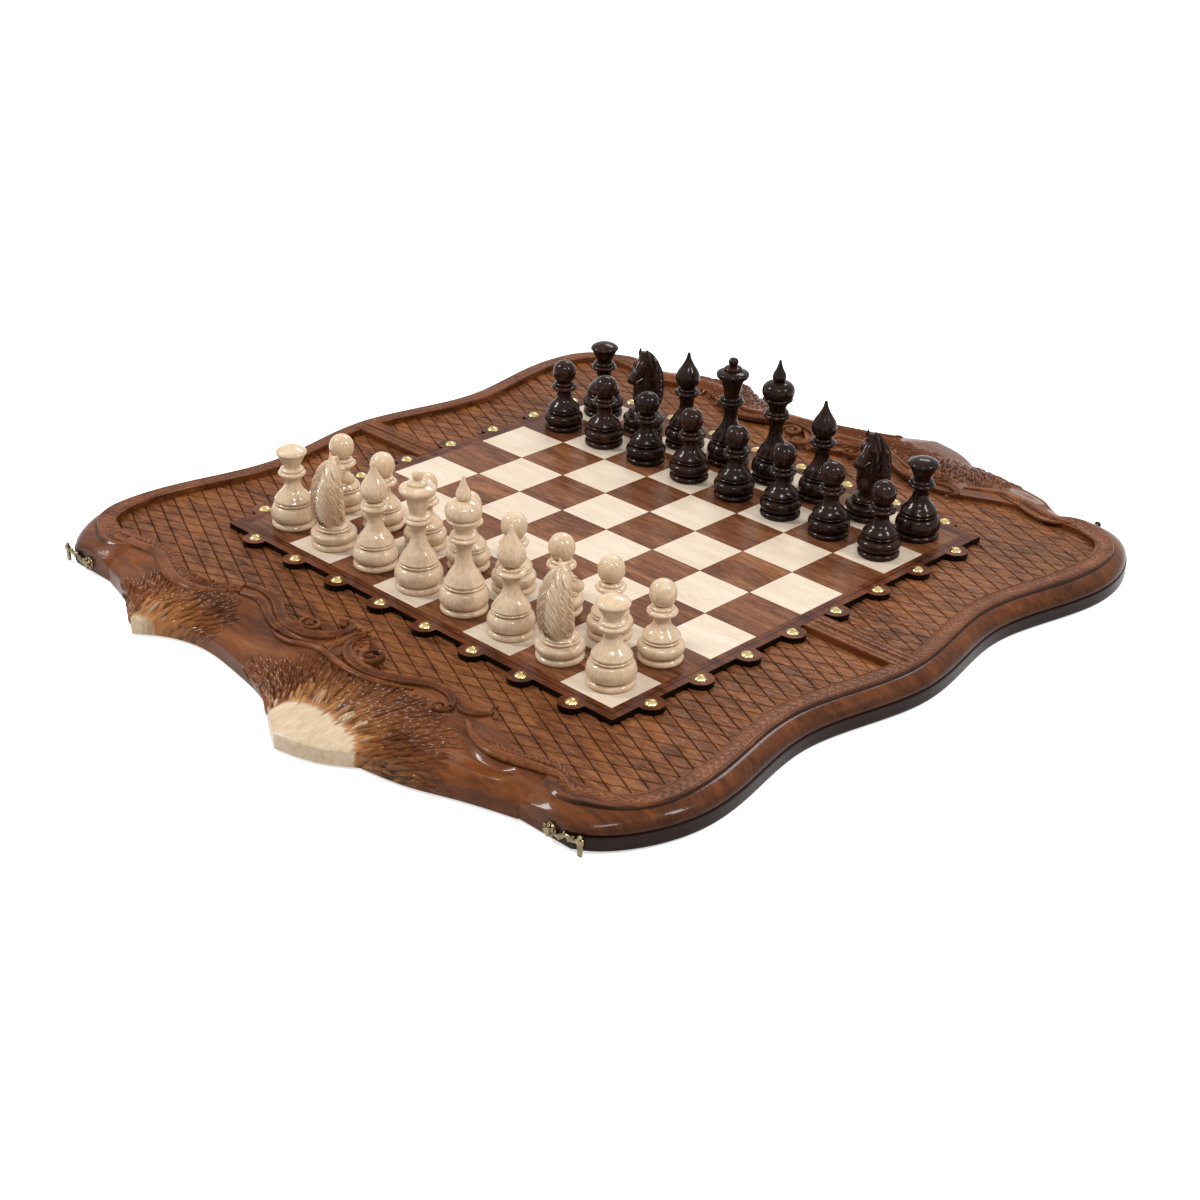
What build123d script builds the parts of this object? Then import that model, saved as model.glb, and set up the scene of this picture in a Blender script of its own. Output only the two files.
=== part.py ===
# Folding chess and backgammon set: two hinged trays with a carved rim, an inlaid board and 32 pieces.
# It lies open and flat with the chess side up. X runs along the fold, Y from white to black,
# Z up from the table. All sizes are in millimetres.
from build123d import *
import os

os.makedirs("parts", exist_ok=True)

# Chess field
square = 45.0
files = 8
ranks_in_half = 4
line_width = 0.5
tile_thickness = 1.2
field_half = square * files / 2

# Heights above the table
knuckle_radius = 1.6
rim_clearance = 0.15
case_height = 22.0
panel_thickness = 5.0
field_skin = 2.75
floor_thickness = 1.25
wall_height = 9.75
axis_z = knuckle_radius
rim_z = axis_z + rim_clearance
top_z = rim_z + case_height
field_z = top_z - panel_thickness
floor_top_z = field_z - field_skin
floor_z = floor_top_z - floor_thickness

# Plan of one half, as distances from the fold and from the middle
fold_gap = 0.15
seam_half_width = 285.7
waist_half_width = 270.5
waist_y = 101.0
shoulder_half_width = 285.8
shoulder_y = 208.0
facet_y = 281.2
facet_inner_x = 208.0
facet_outer_x = 249.0
facet_middle_x = (facet_inner_x + facet_outer_x) / 2
facet_overcut = 3.0
corner_x = 271.3
corner_y = 258.0
crown_y = 290.0
crown_pull = 20.0
ridge_end_x = 204.0
ridge_end_y = 256.0
band_inset = 11.5
band_width = 12.5
seam_band_width = 10.4

# Moulding and apron levels: height above the rim, inward step of the sides, share of the apron slope
moulding_levels = [
    (0.0, 0.0, 0.0),
    (wall_height, 0.0, 0.0),
    (wall_height + 0.4, 1.0, 0.04),
    (case_height - 7.6, 2.4, 0.18),
    (case_height - 4.4, 5.2, 0.42),
    (case_height - 2.3, band_inset - 1.2, 0.75),
    (case_height - 2.0, band_inset, 0.86),
    (case_height, band_inset, 1.0),
]

# Apron outline from the right facet to the left one: foot x and y, then ridge x and y
apron_right = [
    (facet_inner_x, facet_y, ridge_end_x, ridge_end_y),
    (163, 295, 158, 264),
    (138, 304.6, 134, 252),
    (101, 312, 104, 246),
]
apron_face = [
    (101, 312, 104, 246),
    (82, 325.3, 84, 245),
    (48.5, 335.2, 44, 255),
]
apron_hollow = [
    (48.5, 335.2, 44, 255),
    (27, 323, 24, 260),
    (7, 309.6, 3, 263),
    (-45, 295.5, -30, 265),
    (-88, 292.5, -80, 253),
    (-115, 301.5, -103, 262),
    (-132, 314, -118, 270),
]
apron_left = [
    (-132, 314, -118, 270),
    (-165, 294.5, -160, 267),
    (-facet_inner_x, facet_y, -ridge_end_x, ridge_end_y),
]
# Front edge of the carved field, from right to left, and its rounded front corners
field_corner_x = 248.0
field_corner_y = 247.0
field_front = [
    (225, 253),
    (180, 256),
    (134, 239),
    (90, 239),
    (42, 254),
    (3, 228),
    (-30, 254),
    (-67, 243),
    (-103, 243),
    (-135, 257),
    (-180, 246),
    (-225, 252),
]

# Chess panel and its nails
panel_margin = 10.0
lobe_radius = 9.0
lobe_offset = 11.7
panel_clearance = 0.1
nail_radius = 5.4
nail_height = 2.4
nail_edge = 0.7
nail_shank = 1.6
nail_length = 4.0

# Tray for backgammon
tray_half_width = 254.0
tray_wall = 12.0
tray_depth_y = 242.0
tray_corner = 3.0
points_per_side = 6
point_length = 222.0
point_thickness = 0.6
point_gap = 1.0
floor_clearance = 0.2

# Hinges
hinge_x = 150.0
leaf_length = 42.0
leaf_width = 9.5
leaf_thickness = 1.2
hinge_pin_radius = 0.8
running_clearance = 0.05
knuckle_gap = 0.2
knuckle_room = 0.4
hinge_screw_spacing = 24.0
hinge_screw_radius = 0.9
hinge_screw_head = 1.9
hinge_screw_length = 6.0

# Hook latches and keepers
hook_x = 231.0
hook_z = 7.6
hook_reach = 24.5
hook_rise = 3.5
hook_boss_radius = 4.6
hook_arm_width = 3.6
hook_thickness = 2.0
hook_gap = 0.3
tongue_width = 3.2
tongue_drop = 6.2
hook_screw_radius = 1.25
hook_screw_head = 2.6
hook_screw_length = 11.0
keeper_radius = 1.6
keeper_head = 2.7
keeper_clearance = 0.4
keeper_length = 9.0

# Turned feet and stems of the pieces
foot_ring_height = 5.0
pawn = {"foot": 14.9, "bulb": 9.6, "groove": 15.2, "skirt": 12.4, "neck": 5.6, "neck_z": 27.5,
        "collar": 10.1, "collar_z": 34.6, "stem": 5.4, "height": 56.2}
rook = {"foot": 15.8, "bulb": 10.6, "groove": 18.0, "skirt": 13.2, "neck": 6.0, "neck_z": 32.5,
        "collar": 9.6, "collar_z": 40.2, "stem": 5.5, "height": 60.5}
bishop = {"foot": 15.6, "bulb": 10.2, "groove": 17.0, "skirt": 12.8, "neck": 5.7, "neck_z": 33.4,
          "collar": 11.2, "collar_z": 44.2, "stem": 5.0, "height": 74.5}
queen = {"foot": 16.2, "bulb": 11.6, "groove": 18.4, "skirt": 13.3, "neck": 5.3, "neck_z": 37.0,
         "collar": 10.6, "collar_z": 50.0, "stem": 5.6, "height": 86.0}
king = {"foot": 16.2, "bulb": 12.0, "groove": 18.8, "skirt": 13.4, "neck": 5.3, "neck_z": 38.0,
        "collar": 10.7, "collar_z": 52.2, "stem": 6.6, "height": 96.0}
pawn_ball = 8.9
queen_ball = 4.4
knight_foot = 16.0
knight_groove = 15.0
# Knight's neck sections: height, middle of the section ahead of the axis, half width and half depth
knight_neck = [
    (16.5, -0.3, 7.4, 7.8),
    (22.0, -0.8, 5.9, 6.5),
    (30.0, -2.0, 6.3, 7.8),
    (40.0, -3.4, 6.7, 8.8),
    (50.0, -2.6, 6.1, 8.2),
    (57.5, -0.4, 4.8, 6.4),
    (61.8, 1.0, 2.6, 3.6),
]
# Knight's head sections from the poll to the muzzle: distance along it, half width and half depth
knight_poll = (-1.0, 57.0)
knight_muzzle = (17.2, 42.8)
knight_head = [(0.0, 5.1, 6.6), (7.5, 5.0, 6.9), (14.5, 3.8, 4.9), (20.0, 3.4, 4.2), (23.0, 2.4, 3.0)]
# Back edge of the mane from the withers to the forelock, one lock between each two points
knight_locks = [(-6.8, 19.5), (-10.4, 27.0), (-12.2, 35.0), (-12.0, 43.0), (-10.6, 50.5), (-7.0, 57.5), (-1.2, 63.0),
                (3.6, 65.8)]
knight_lock_bulge = 1.3
knight_mane = 2.8
knight_ear = 1.9
knight_ear_length = 7.6
knight_ear_spread = 2.9
knight_ear_place = (1.4, 60.4)


def outline_point(point, side, pull):
    """Place one apron point between its foot and its ridge."""
    foot_x, foot_y, ridge_x, ridge_y = point
    return (foot_x + (ridge_x - foot_x) * pull, side * (foot_y + (ridge_y - foot_y) * pull))


def side_points(hand, side, inset):
    """Points down one waisted side, from the fold to the corner facet."""
    return [
        (hand * (seam_half_width - inset), side * fold_gap),
        (hand * (waist_half_width - inset), side * waist_y),
        (hand * (shoulder_half_width - inset), side * shoulder_y),
        (hand * (corner_x - 0.9 * inset), side * (corner_y - 0.5 * inset)),
        (hand * (facet_outer_x - 0.75 * inset), side * (facet_y - 1.35 * inset)),
    ]


def draw_side(hand, side, inset):
    """One waisted side of the outline, square to the fold where the halves meet."""
    points = side_points(hand, side, inset)
    Spline(*points, tangents=[(0, side), (-0.9 * hand, 0.43 * side)])
    return points


def draw_corner(hand, side, inset, pull):
    """The bulge at a front corner, which the flat facet cuts."""
    outer = side_points(hand, side, inset)[-1]
    inner = outline_point((hand * facet_inner_x, facet_y, hand * ridge_end_x, ridge_end_y), side, pull)
    crown = (hand * facet_middle_x, side * (crown_y - crown_pull * pull))
    ThreePointArc(outer, crown, inner)


def draw_half(side, inset, pull):
    """Closed outline of one half at one level of its moulding."""
    right = draw_side(1, side, inset)
    draw_corner(1, side, inset, pull)
    for stretch in (apron_right, apron_face, apron_hollow, apron_left):
        Spline(*[outline_point(point, side, pull) for point in stretch])
    draw_corner(-1, side, inset, pull)
    left = draw_side(-1, side, inset)
    Line(left[0], right[0])


def panel_lobes(side):
    """Centres of the sixteen lobes round one half of the chess panel."""
    across = field_half + lobe_offset
    ranks = [side * square * (rank + 0.5) for rank in range(ranks_in_half)]
    columns = [square * (column + 0.5) - field_half for column in range(files)]
    return (
        [(across, y) for y in ranks]
        + [(-across, y) for y in ranks]
        + [(x, side * (ranks_in_half * square + lobe_offset)) for x in columns]
    )


def draw_panel(side, grow):
    """Plan of one half of the chess panel: a plain rectangle with a round lobe at each nail."""
    depth = ranks_in_half * square + panel_margin + grow - fold_gap
    with Locations((0, side * (fold_gap + depth / 2))):
        Rectangle(2 * (field_half + panel_margin + grow), depth)
    with Locations(*panel_lobes(side)):
        Circle(lobe_radius + grow)


def draw_field(side):
    """Outline of the sunk carved field of one half."""
    inset = band_inset + band_width
    front = [(x, side * y) for x, y in field_front]
    right = side_points(1, side, inset)[1:3]
    left = side_points(-1, side, inset)[1:3]
    seam_right = (seam_half_width - inset, side * seam_band_width)
    seam_left = (inset - seam_half_width, side * seam_band_width)
    Spline(seam_right, *right, (field_corner_x, side * field_corner_y), front[0])
    Spline(*front)
    Spline(front[-1], (-field_corner_x, side * field_corner_y), *reversed(left), seam_left)
    Line(seam_left, seam_right)


def hinge_screws(side):
    """Places of the four screws in the leaves of one half."""
    half = hinge_screw_spacing / 2
    y = side * (leaf_width + knuckle_radius) / 2
    return [(x + step, y) for x in (-hinge_x, hinge_x) for step in (-half, half)]


def latch_places(side):
    """Screw places on the two facets: pivots on the white half, keepers on the black one."""
    if side < 0:
        return [(-hook_x, hook_z), (hook_x, hook_z)]
    reach = hook_reach - tongue_width / 2 - keeper_clearance - keeper_radius
    keeper_z = 2 * axis_z - (hook_z - reach)
    return [(-hook_x + 1.5, keeper_z), (hook_x - 1.5, keeper_z)]


def facing(side, distance):
    """Plane on a front facet, at a distance from the fold, looking outwards."""
    return Plane(origin=(0, side * distance, 0), x_dir=(1, 0, 0), z_dir=(0, side, 0))


def on_facet(side, x, z):
    """Point on a facet plane, whose own Y runs down on the black side."""
    return (x, z if side < 0 else -z)


def tray(side):
    """One half of the case: waisted moulded walls, sculpted apron, sunk field and hollow tray."""
    tray_depth = tray_depth_y - tray_wall
    tray_middle = side * (tray_wall + tray_depth / 2)
    with BuildPart() as case:
        for height, inset, pull in moulding_levels:
            with BuildSketch(Plane.XY.offset(rim_z + height)):
                with BuildLine():
                    draw_half(side, inset, pull)
                make_face()
        loft(ruled=True)
        # Flat facets for the latches
        with BuildSketch(facing(side, facet_y)):
            with Locations(*[on_facet(side, hand * facet_middle_x, top_z / 2) for hand in (-1, 1)]):
                Rectangle(facet_outer_x - facet_inner_x + 2 * facet_overcut, top_z * 2)
        extrude(amount=2 * (crown_y - facet_y), mode=Mode.SUBTRACT)
        # Sunk field, with the bed of the chess panel running on to the fold
        with BuildSketch(Plane.XY.offset(field_z)):
            with BuildLine():
                draw_field(side)
            make_face()
            draw_panel(side, panel_clearance)
            with Locations((0, side * seam_band_width / 2)):
                Rectangle(2 * (field_half + panel_margin + panel_clearance), seam_band_width)
        extrude(amount=case_height, mode=Mode.SUBTRACT)
        # Hollow tray under the board
        with BuildSketch(Plane.XY.offset(floor_top_z)):
            with Locations((0, tray_middle)):
                RectangleRounded(2 * tray_half_width, tray_depth, tray_corner)
        extrude(amount=-case_height, mode=Mode.SUBTRACT)
        # Seats of the hinge leaves and room for their knuckles
        with BuildSketch(Plane.XY.offset(rim_z + leaf_thickness)):
            with Locations((-hinge_x, side * leaf_width / 2), (hinge_x, side * leaf_width / 2)):
                Rectangle(leaf_length + knuckle_gap, leaf_width + knuckle_gap)
        extrude(amount=-case_height, mode=Mode.SUBTRACT)
        with BuildSketch(Plane.XY.offset(axis_z + knuckle_radius + knuckle_room)):
            with Locations((-hinge_x, 0), (hinge_x, 0)):
                Rectangle(leaf_length + knuckle_gap, 2 * (knuckle_radius + knuckle_room))
        extrude(amount=-case_height, mode=Mode.SUBTRACT)
        with BuildSketch(Plane.XY.offset(rim_z + hinge_screw_length)):
            with Locations(*hinge_screws(side)):
                Circle(hinge_screw_radius)
        extrude(amount=-case_height, mode=Mode.SUBTRACT)
        depth = hook_screw_length if side < 0 else keeper_length
        radius = hook_screw_radius if side < 0 else keeper_radius
        with BuildSketch(facing(side, facet_y)):
            with Locations(*[on_facet(side, x, z) for x, z in latch_places(side)]):
                Circle(radius)
        extrude(amount=-depth, mode=Mode.SUBTRACT)
    return case.part


def chess_panel(side):
    """Lobed panel with a shallow bed for the squares and a square hole under each nail."""
    with BuildPart() as panel:
        with BuildSketch(Plane.XY.offset(field_z)):
            draw_panel(side, 0)
        extrude(amount=panel_thickness)
        with BuildSketch(Plane.XY.offset(top_z - tile_thickness)):
            for x, y, _ in field_squares(side):
                with Locations((x, y)):
                    Rectangle(square - line_width, square - line_width)
        extrude(amount=tile_thickness, mode=Mode.SUBTRACT)
        with BuildSketch(Plane.XY.offset(top_z - nail_length)):
            with Locations(*panel_lobes(side)):
                Rectangle(nail_shank, nail_shank)
        extrude(amount=nail_length, mode=Mode.SUBTRACT)
    return panel.part


def field_squares(side):
    """Centre and shade of every square in one half: 0 is dark and 1 is light."""
    squares = []
    for column in range(files):
        for row in range(ranks_in_half):
            rank = ranks_in_half - 1 - row if side < 0 else ranks_in_half + row
            x = square * (column + 0.5) - field_half
            squares.append((x, side * square * (row + 0.5), (column + rank) % 2))
    return squares


def board_squares(side, shade):
    """The inlaid squares of one shade in one half."""
    with BuildPart() as tiles:
        with BuildSketch(Plane.XY.offset(top_z - tile_thickness)):
            with Locations(*[(x, y) for x, y, tone in field_squares(side) if tone == shade]):
                Rectangle(square - line_width, square - line_width)
        extrude(amount=tile_thickness)
    return tiles.part


def rosette_nails(side):
    """Domed brass nails with square shanks, one in each lobe."""
    edge = nail_radius - 0.3
    rise = nail_height - nail_edge
    dome = (edge**2 + rise**2) / (2 * rise)
    middle = edge / 2
    middle_z = nail_height - dome + (dome**2 - middle**2) ** 0.5
    with BuildPart() as nails:
        for x, y in panel_lobes(side):
            with BuildSketch(Plane(origin=(x, y, top_z), x_dir=(1, 0, 0), z_dir=(0, -1, 0))):
                with BuildLine():
                    Line((0, 0), (nail_radius, 0))
                    Line((nail_radius, 0), (edge, nail_edge))
                    ThreePointArc((edge, nail_edge), (middle, middle_z), (0, nail_height))
                    Line((0, nail_height), (0, 0))
                make_face()
            revolve(axis=Axis((x, y, 0), (0, 0, 1)))
        with BuildSketch(Plane.XY.offset(top_z)):
            with Locations(*panel_lobes(side)):
                Rectangle(nail_shank, nail_shank)
        extrude(amount=-nail_length)
    return nails.part


def point_outline(hand, side, number):
    """One long backgammon point, from the end wall towards the middle."""
    clear_depth = tray_depth_y - tray_wall - 2 * floor_clearance
    pitch = clear_depth / points_per_side
    near = tray_wall + floor_clearance + pitch * number
    end_x = hand * (tray_half_width - floor_clearance - point_gap)
    Polyline(
        (end_x, side * (near + point_gap)),
        (end_x, side * (near + pitch - point_gap)),
        (end_x - hand * point_length, side * (near + pitch / 2)),
        close=True,
    )


def tray_floor(side):
    """Veneered floor of the tray, with a seat for every inlaid point."""
    depth = tray_depth_y - tray_wall - 2 * floor_clearance
    middle = side * (tray_depth_y + tray_wall) / 2
    with BuildPart() as floor:
        with BuildSketch(Plane.XY.offset(floor_z)):
            with Locations((0, middle)):
                RectangleRounded(2 * (tray_half_width - floor_clearance), depth, tray_corner)
        extrude(amount=floor_thickness)
        with BuildSketch(Plane.XY.offset(floor_z)):
            for hand in (-1, 1):
                for number in range(points_per_side):
                    with BuildLine():
                        point_outline(hand, side, number)
                    make_face()
        extrude(amount=point_thickness, mode=Mode.SUBTRACT)
    return floor.part


def inlaid_points(side, shade):
    """The inlaid points of one shade in one half: they take turns along each end."""
    with BuildPart() as points:
        with BuildSketch(Plane.XY.offset(floor_z)):
            for hand in (-1, 1):
                for number in range(points_per_side):
                    if (number + (hand > 0) + (side > 0)) % 2 == shade:
                        with BuildLine():
                            point_outline(hand, side, number)
                        make_face()
        extrude(amount=point_thickness)
    return points.part


def knuckle_spans(side):
    """Spans of the knuckles on one leaf: two outer ones on white, the middle one on black."""
    third = leaf_length / 3
    outer = third - knuckle_gap
    if side < 0:
        return [(-leaf_length / 2, outer), (leaf_length / 2 - outer, outer)]
    return [(-third / 2, third)]


def hinge_leaves(side):
    """The two brass leaves of one half, each with its knuckles and countersunk screw holes."""
    with BuildPart() as leaves:
        for x in (-hinge_x, hinge_x):
            inner = knuckle_radius + knuckle_room
            with BuildSketch(Plane.XY.offset(rim_z)):
                with Locations((x, side * (leaf_width + inner) / 2)):
                    Rectangle(leaf_length, leaf_width - inner)
                for start, length in knuckle_spans(side):
                    with Locations((x + start + length / 2, side * inner / 2)):
                        Rectangle(length, inner)
            extrude(amount=leaf_thickness)
            for start, length in knuckle_spans(side):
                with BuildSketch(Plane(origin=(x + start, 0, axis_z), x_dir=(0, 1, 0), z_dir=(1, 0, 0))):
                    Circle(knuckle_radius)
                extrude(amount=length)
        with BuildSketch(Plane(origin=(-hinge_x - leaf_length, 0, axis_z), x_dir=(0, 1, 0), z_dir=(1, 0, 0))):
            Circle(hinge_pin_radius + running_clearance)
        extrude(amount=2 * (hinge_x + leaf_length), mode=Mode.SUBTRACT)
        with Locations(*[Location((x, y, rim_z), (180, 0, 0)) for x, y in hinge_screws(side)]):
            CounterSinkHole(hinge_screw_radius, hinge_screw_head, depth=leaf_thickness)
    return leaves.part


def hinge_pins():
    """The two hinge pins on the fold axis."""
    with BuildPart() as pins:
        for x in (-hinge_x, hinge_x):
            start = Plane(origin=(x - leaf_length / 2, 0, axis_z), x_dir=(0, 1, 0), z_dir=(1, 0, 0))
            with BuildSketch(start):
                Circle(hinge_pin_radius)
            extrude(amount=leaf_length)
    return pins.part


def countersunk_screws(side):
    """The screws that hold the leaves of one half, flush with the leaf."""
    cone = hinge_screw_head - hinge_screw_radius
    with BuildPart() as screws:
        for x, y in hinge_screws(side):
            with BuildSketch(Plane(origin=(x, y, rim_z), x_dir=(1, 0, 0), z_dir=(0, -1, 0))):
                with BuildLine():
                    Polyline(
                        (0, 0),
                        (hinge_screw_head - 0.05, 0),
                        (hinge_screw_radius - 0.05, cone),
                        (hinge_screw_radius - 0.05, hinge_screw_length - 0.6),
                        (0, hinge_screw_length),
                        close=True,
                    )
                make_face()
            revolve(axis=Axis((x, y, 0), (0, 0, 1)))
    return screws.part


def hook(hand):
    """Ornate hook: a round boss on the pivot, a waved arm and a tongue that hangs from its end."""
    def place(x, z):
        return (hand * (hook_x + x), hook_z + z)

    end = hook_reach
    half_tongue = tongue_width / 2
    with BuildPart() as latch:
        with BuildSketch(facing(-1, facet_y + hook_gap)):
            with Locations(place(0, 0)):
                Circle(hook_boss_radius)
            with BuildLine():
                Spline(place(0, 2.2), place(9, 1.9), place(16, 3.6), place(end + half_tongue, hook_rise + 1.6))
                Line(place(end + half_tongue, hook_rise + 1.6), place(end + half_tongue, -tongue_drop))
                Line(place(end + half_tongue, -tongue_drop), place(end - half_tongue, -tongue_drop))
                Line(place(end - half_tongue, -tongue_drop), place(end - half_tongue, hook_rise - 2))
                Spline(place(end - half_tongue, hook_rise - 2), place(15, 0.2), place(9, -1.7), place(0, -2.2))
                Line(place(0, -2.2), place(0, 2.2))
            make_face()
            with Locations(place(hook_reach - 1, hook_rise)):
                Circle(hook_arm_width * 0.8)
        extrude(amount=hook_thickness)
        with BuildSketch(facing(-1, facet_y)):
            with Locations(place(0, 0)):
                Circle(hook_screw_radius + running_clearance)
        extrude(amount=10, mode=Mode.SUBTRACT)
    return latch.part


def round_fixings(side, radius, head, buried, free):
    """Round-headed studs in the facets of one half: pivots of the hooks, or their keepers."""
    with BuildPart() as studs:
        for x, z in latch_places(side):
            with BuildSketch(facing(side, facet_y - buried)):
                with Locations(on_facet(side, x, z)):
                    Circle(radius)
            extrude(amount=buried + free)
            with BuildSketch(facing(side, facet_y + free)):
                with Locations(on_facet(side, x, z)):
                    Circle(head)
            extrude(amount=1.3, taper=18)
    return studs.part


def draw_turning(sizes, head):
    """Half profile of a turned piece: ring, bulb, skirt, neck and collar, then its own head."""
    foot = sizes["foot"]
    groove = sizes["groove"]
    skirt = sizes["skirt"]
    neck = sizes["neck"]
    neck_z = sizes["neck_z"]
    collar = sizes["collar"]
    collar_z = sizes["collar_z"]
    Line((0, 0), (foot - 0.8, 0))
    Line((foot - 0.8, 0), (foot, foot_ring_height * 0.35))
    Line((foot, foot_ring_height * 0.35), (foot - 1.2, foot_ring_height))
    ThreePointArc((foot - 1.2, foot_ring_height), (foot - 0.2, sizes["bulb"]), (skirt - 0.6, groove))
    Line((skirt - 0.6, groove), (skirt, groove + 1.4))
    Line((skirt, groove + 1.4), (skirt - 0.5, groove + 3.2))
    ThreePointArc(
        (skirt - 0.5, groove + 3.2),
        (neck + (skirt - neck) * 0.28, groove + 3.2 + (neck_z - groove - 3.2) * 0.42),
        (neck, neck_z),
    )
    Line((neck, neck_z), (neck + 2.4, collar_z - 2.6))
    Line((neck + 2.4, collar_z - 2.6), (collar, collar_z - 0.8))
    Line((collar, collar_z - 0.8), (collar - 0.7, collar_z + 1.2))
    Line((collar - 0.7, collar_z + 1.2), (sizes["stem"] + 1.4, collar_z + 2.4))
    head_start = (sizes["stem"], collar_z + 4.2)
    Line((sizes["stem"] + 1.4, collar_z + 2.4), head_start)
    end = head(head_start, sizes["height"])
    Line(end, (0, 0))


def draw_ball(start, radius, top):
    """A round ball on a stem of the start's radius, with its centre on the axis."""
    middle = top - radius
    seat = (start[0], middle - (radius**2 - start[0] ** 2) ** 0.5)
    Line(start, seat)
    ThreePointArc(seat, (radius, middle), (0, top))


def ball_head(start, top):
    """Round ball of a pawn."""
    draw_ball(start, pawn_ball, top)
    return (0, top)


def cup_head(start, top):
    """Dished cup of a rook."""
    ThreePointArc(start, (8.9, top - 9), (10.1, top - 2.2))
    Polyline((10.1, top - 2.2), (10.5, top), (8.8, top), (6.5, top - 2.4), (0, top - 3.4))
    return (0, top - 3.4)


def onion_head(start, top):
    """Pointed onion of a bishop."""
    ThreePointArc(start, (9.3, top - 17.5), (7.0, top - 11.5))
    ThreePointArc((7.0, top - 11.5), (3.1, top - 6.0), (0.9, top - 0.6))
    Line((0.9, top - 0.6), (0, top))
    return (0, top)


def crown_head(start, top):
    """Flared cup, thin disc and small ball of a queen."""
    ThreePointArc(start, (7.4, start[1] + 6.5), (12.6, top - 14.2))
    Polyline((12.6, top - 14.2), (12.4, top - 13.0), (4.0, top - 10.6), (2.6, top - 9.0))
    draw_ball((2.6, top - 9.0), queen_ball, top)
    return (0, top)


def turban_head(start, top):
    """Lipped cup, turban and flame of a king."""
    ThreePointArc(start, (8.6, start[1] + 5.0), (11.2, top - 31.2))
    Polyline((11.2, top - 31.2), (11.2, top - 30.0), (10.3, top - 29.4))
    ThreePointArc((10.3, top - 29.4), (11.7, top - 24.4), (7.5, top - 19.3))
    Line((7.5, top - 19.3), (2.9, top - 18.2))
    ThreePointArc((2.9, top - 18.2), (5.3, top - 14.5), (3.3, top - 9.6))
    Line((3.3, top - 9.6), (0.8, top - 0.9))
    Line((0.8, top - 0.9), (0, top))
    return (0, top)


def turned_piece(sizes, head, x, y):
    """One turned piece standing on the middle of its square."""
    with BuildPart() as piece:
        with BuildSketch(Plane(origin=(x, y, top_z), x_dir=(1, 0, 0), z_dir=(0, -1, 0))):
            with BuildLine():
                draw_turning(sizes, head)
            make_face()
        revolve(axis=Axis((x, y, 0), (0, 0, 1)))
    return piece.part


def lock_bulge(first, second):
    """Top of the arc of one lock of the mane, behind the middle of its chord."""
    reach, height = (first[0] + second[0]) / 2, (first[1] + second[1]) / 2
    run, rise = second[0] - first[0], second[1] - first[1]
    chord = (run**2 + rise**2) ** 0.5
    return reach - knight_lock_bulge * rise / chord, height + knight_lock_bulge * run / chord


def knight_piece(x, y, forward):
    """Carved knight: a turned foot, a lofted neck and head, a mane in locks and two ears."""
    def at(point):
        return (forward * point[0], point[1])

    with BuildPart() as piece:
        with BuildSketch(Plane(origin=(x, y, top_z), x_dir=(1, 0, 0), z_dir=(0, -1, 0))):
            with BuildLine():
                Polyline((0, 0), (knight_foot - 0.8, 0), (knight_foot, foot_ring_height * 0.35),
                         (knight_foot - 1.2, foot_ring_height))
                ThreePointArc((knight_foot - 1.2, foot_ring_height), (knight_foot - 0.3, 9.2),
                              (12.2, knight_groove - 1.2))
                Polyline((12.2, knight_groove - 1.2), (12.6, knight_groove), (11.4, knight_groove + 1.2),
                         (8.4, knight_groove + 2.6), (0, knight_groove + 2.6), (0, 0))
            make_face()
        revolve(axis=Axis((x, y, 0), (0, 0, 1)))
        # Neck, from the foot up to the forelock
        for height, middle, half_width, half_depth in knight_neck:
            with BuildSketch(Plane(origin=(x, y + forward * middle, top_z + height))):
                Ellipse(half_width, half_depth)
        loft()
        # Head, along its own line from the poll to the muzzle
        poll = Vector(x, y + forward * knight_poll[0], top_z + knight_poll[1])
        muzzle = Vector(x, y + forward * knight_muzzle[0], top_z + knight_muzzle[1])
        along = (muzzle - poll).normalized()
        for distance, half_width, half_depth in knight_head:
            with BuildSketch(Plane(origin=poll + along * distance, x_dir=(1, 0, 0), z_dir=along)):
                Ellipse(half_width, half_depth)
        loft()
        # Mane, a crest whose back edge is a row of locks
        with BuildSketch(Plane(origin=(x, y, top_z), x_dir=(0, 1, 0), z_dir=(1, 0, 0))):
            with BuildLine():
                for first, second in zip(knight_locks, knight_locks[1:]):
                    ThreePointArc(at(first), at(lock_bulge(first, second)), at(second))
                Line(at(knight_locks[-1]), at(knight_ear_place))
                Line(at(knight_ear_place), at((knight_neck[1][1], knight_neck[1][0])))
                Line(at((knight_neck[1][1], knight_neck[1][0])), at(knight_locks[0]))
            make_face()
        extrude(amount=knight_mane, both=True)
        # Ears, pricked and turned a little outwards
        for hand in (-1, 1):
            ear_root = (x + hand * knight_ear_spread, y + forward * knight_ear_place[0], top_z + knight_ear_place[1])
            with Locations(Plane(origin=ear_root, z_dir=(hand * 0.12, forward * 0.1, 1))):
                Cone(knight_ear, 0.35, knight_ear_length, align=(Align.CENTER, Align.CENTER, Align.MIN))
    return piece.part


def write(shape, name):
    """Label one finished piece and write it out."""
    shape.label = name
    export_step(shape, f"parts/{name}.step")


back_rank = ["rook", "knight", "bishop", "queen", "king", "bishop", "knight", "rook"]
turnings = {
    "pawn": (pawn, ball_head),
    "rook": (rook, cup_head),
    "bishop": (bishop, onion_head),
    "queen": (queen, crown_head),
    "king": (king, turban_head),
}


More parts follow.
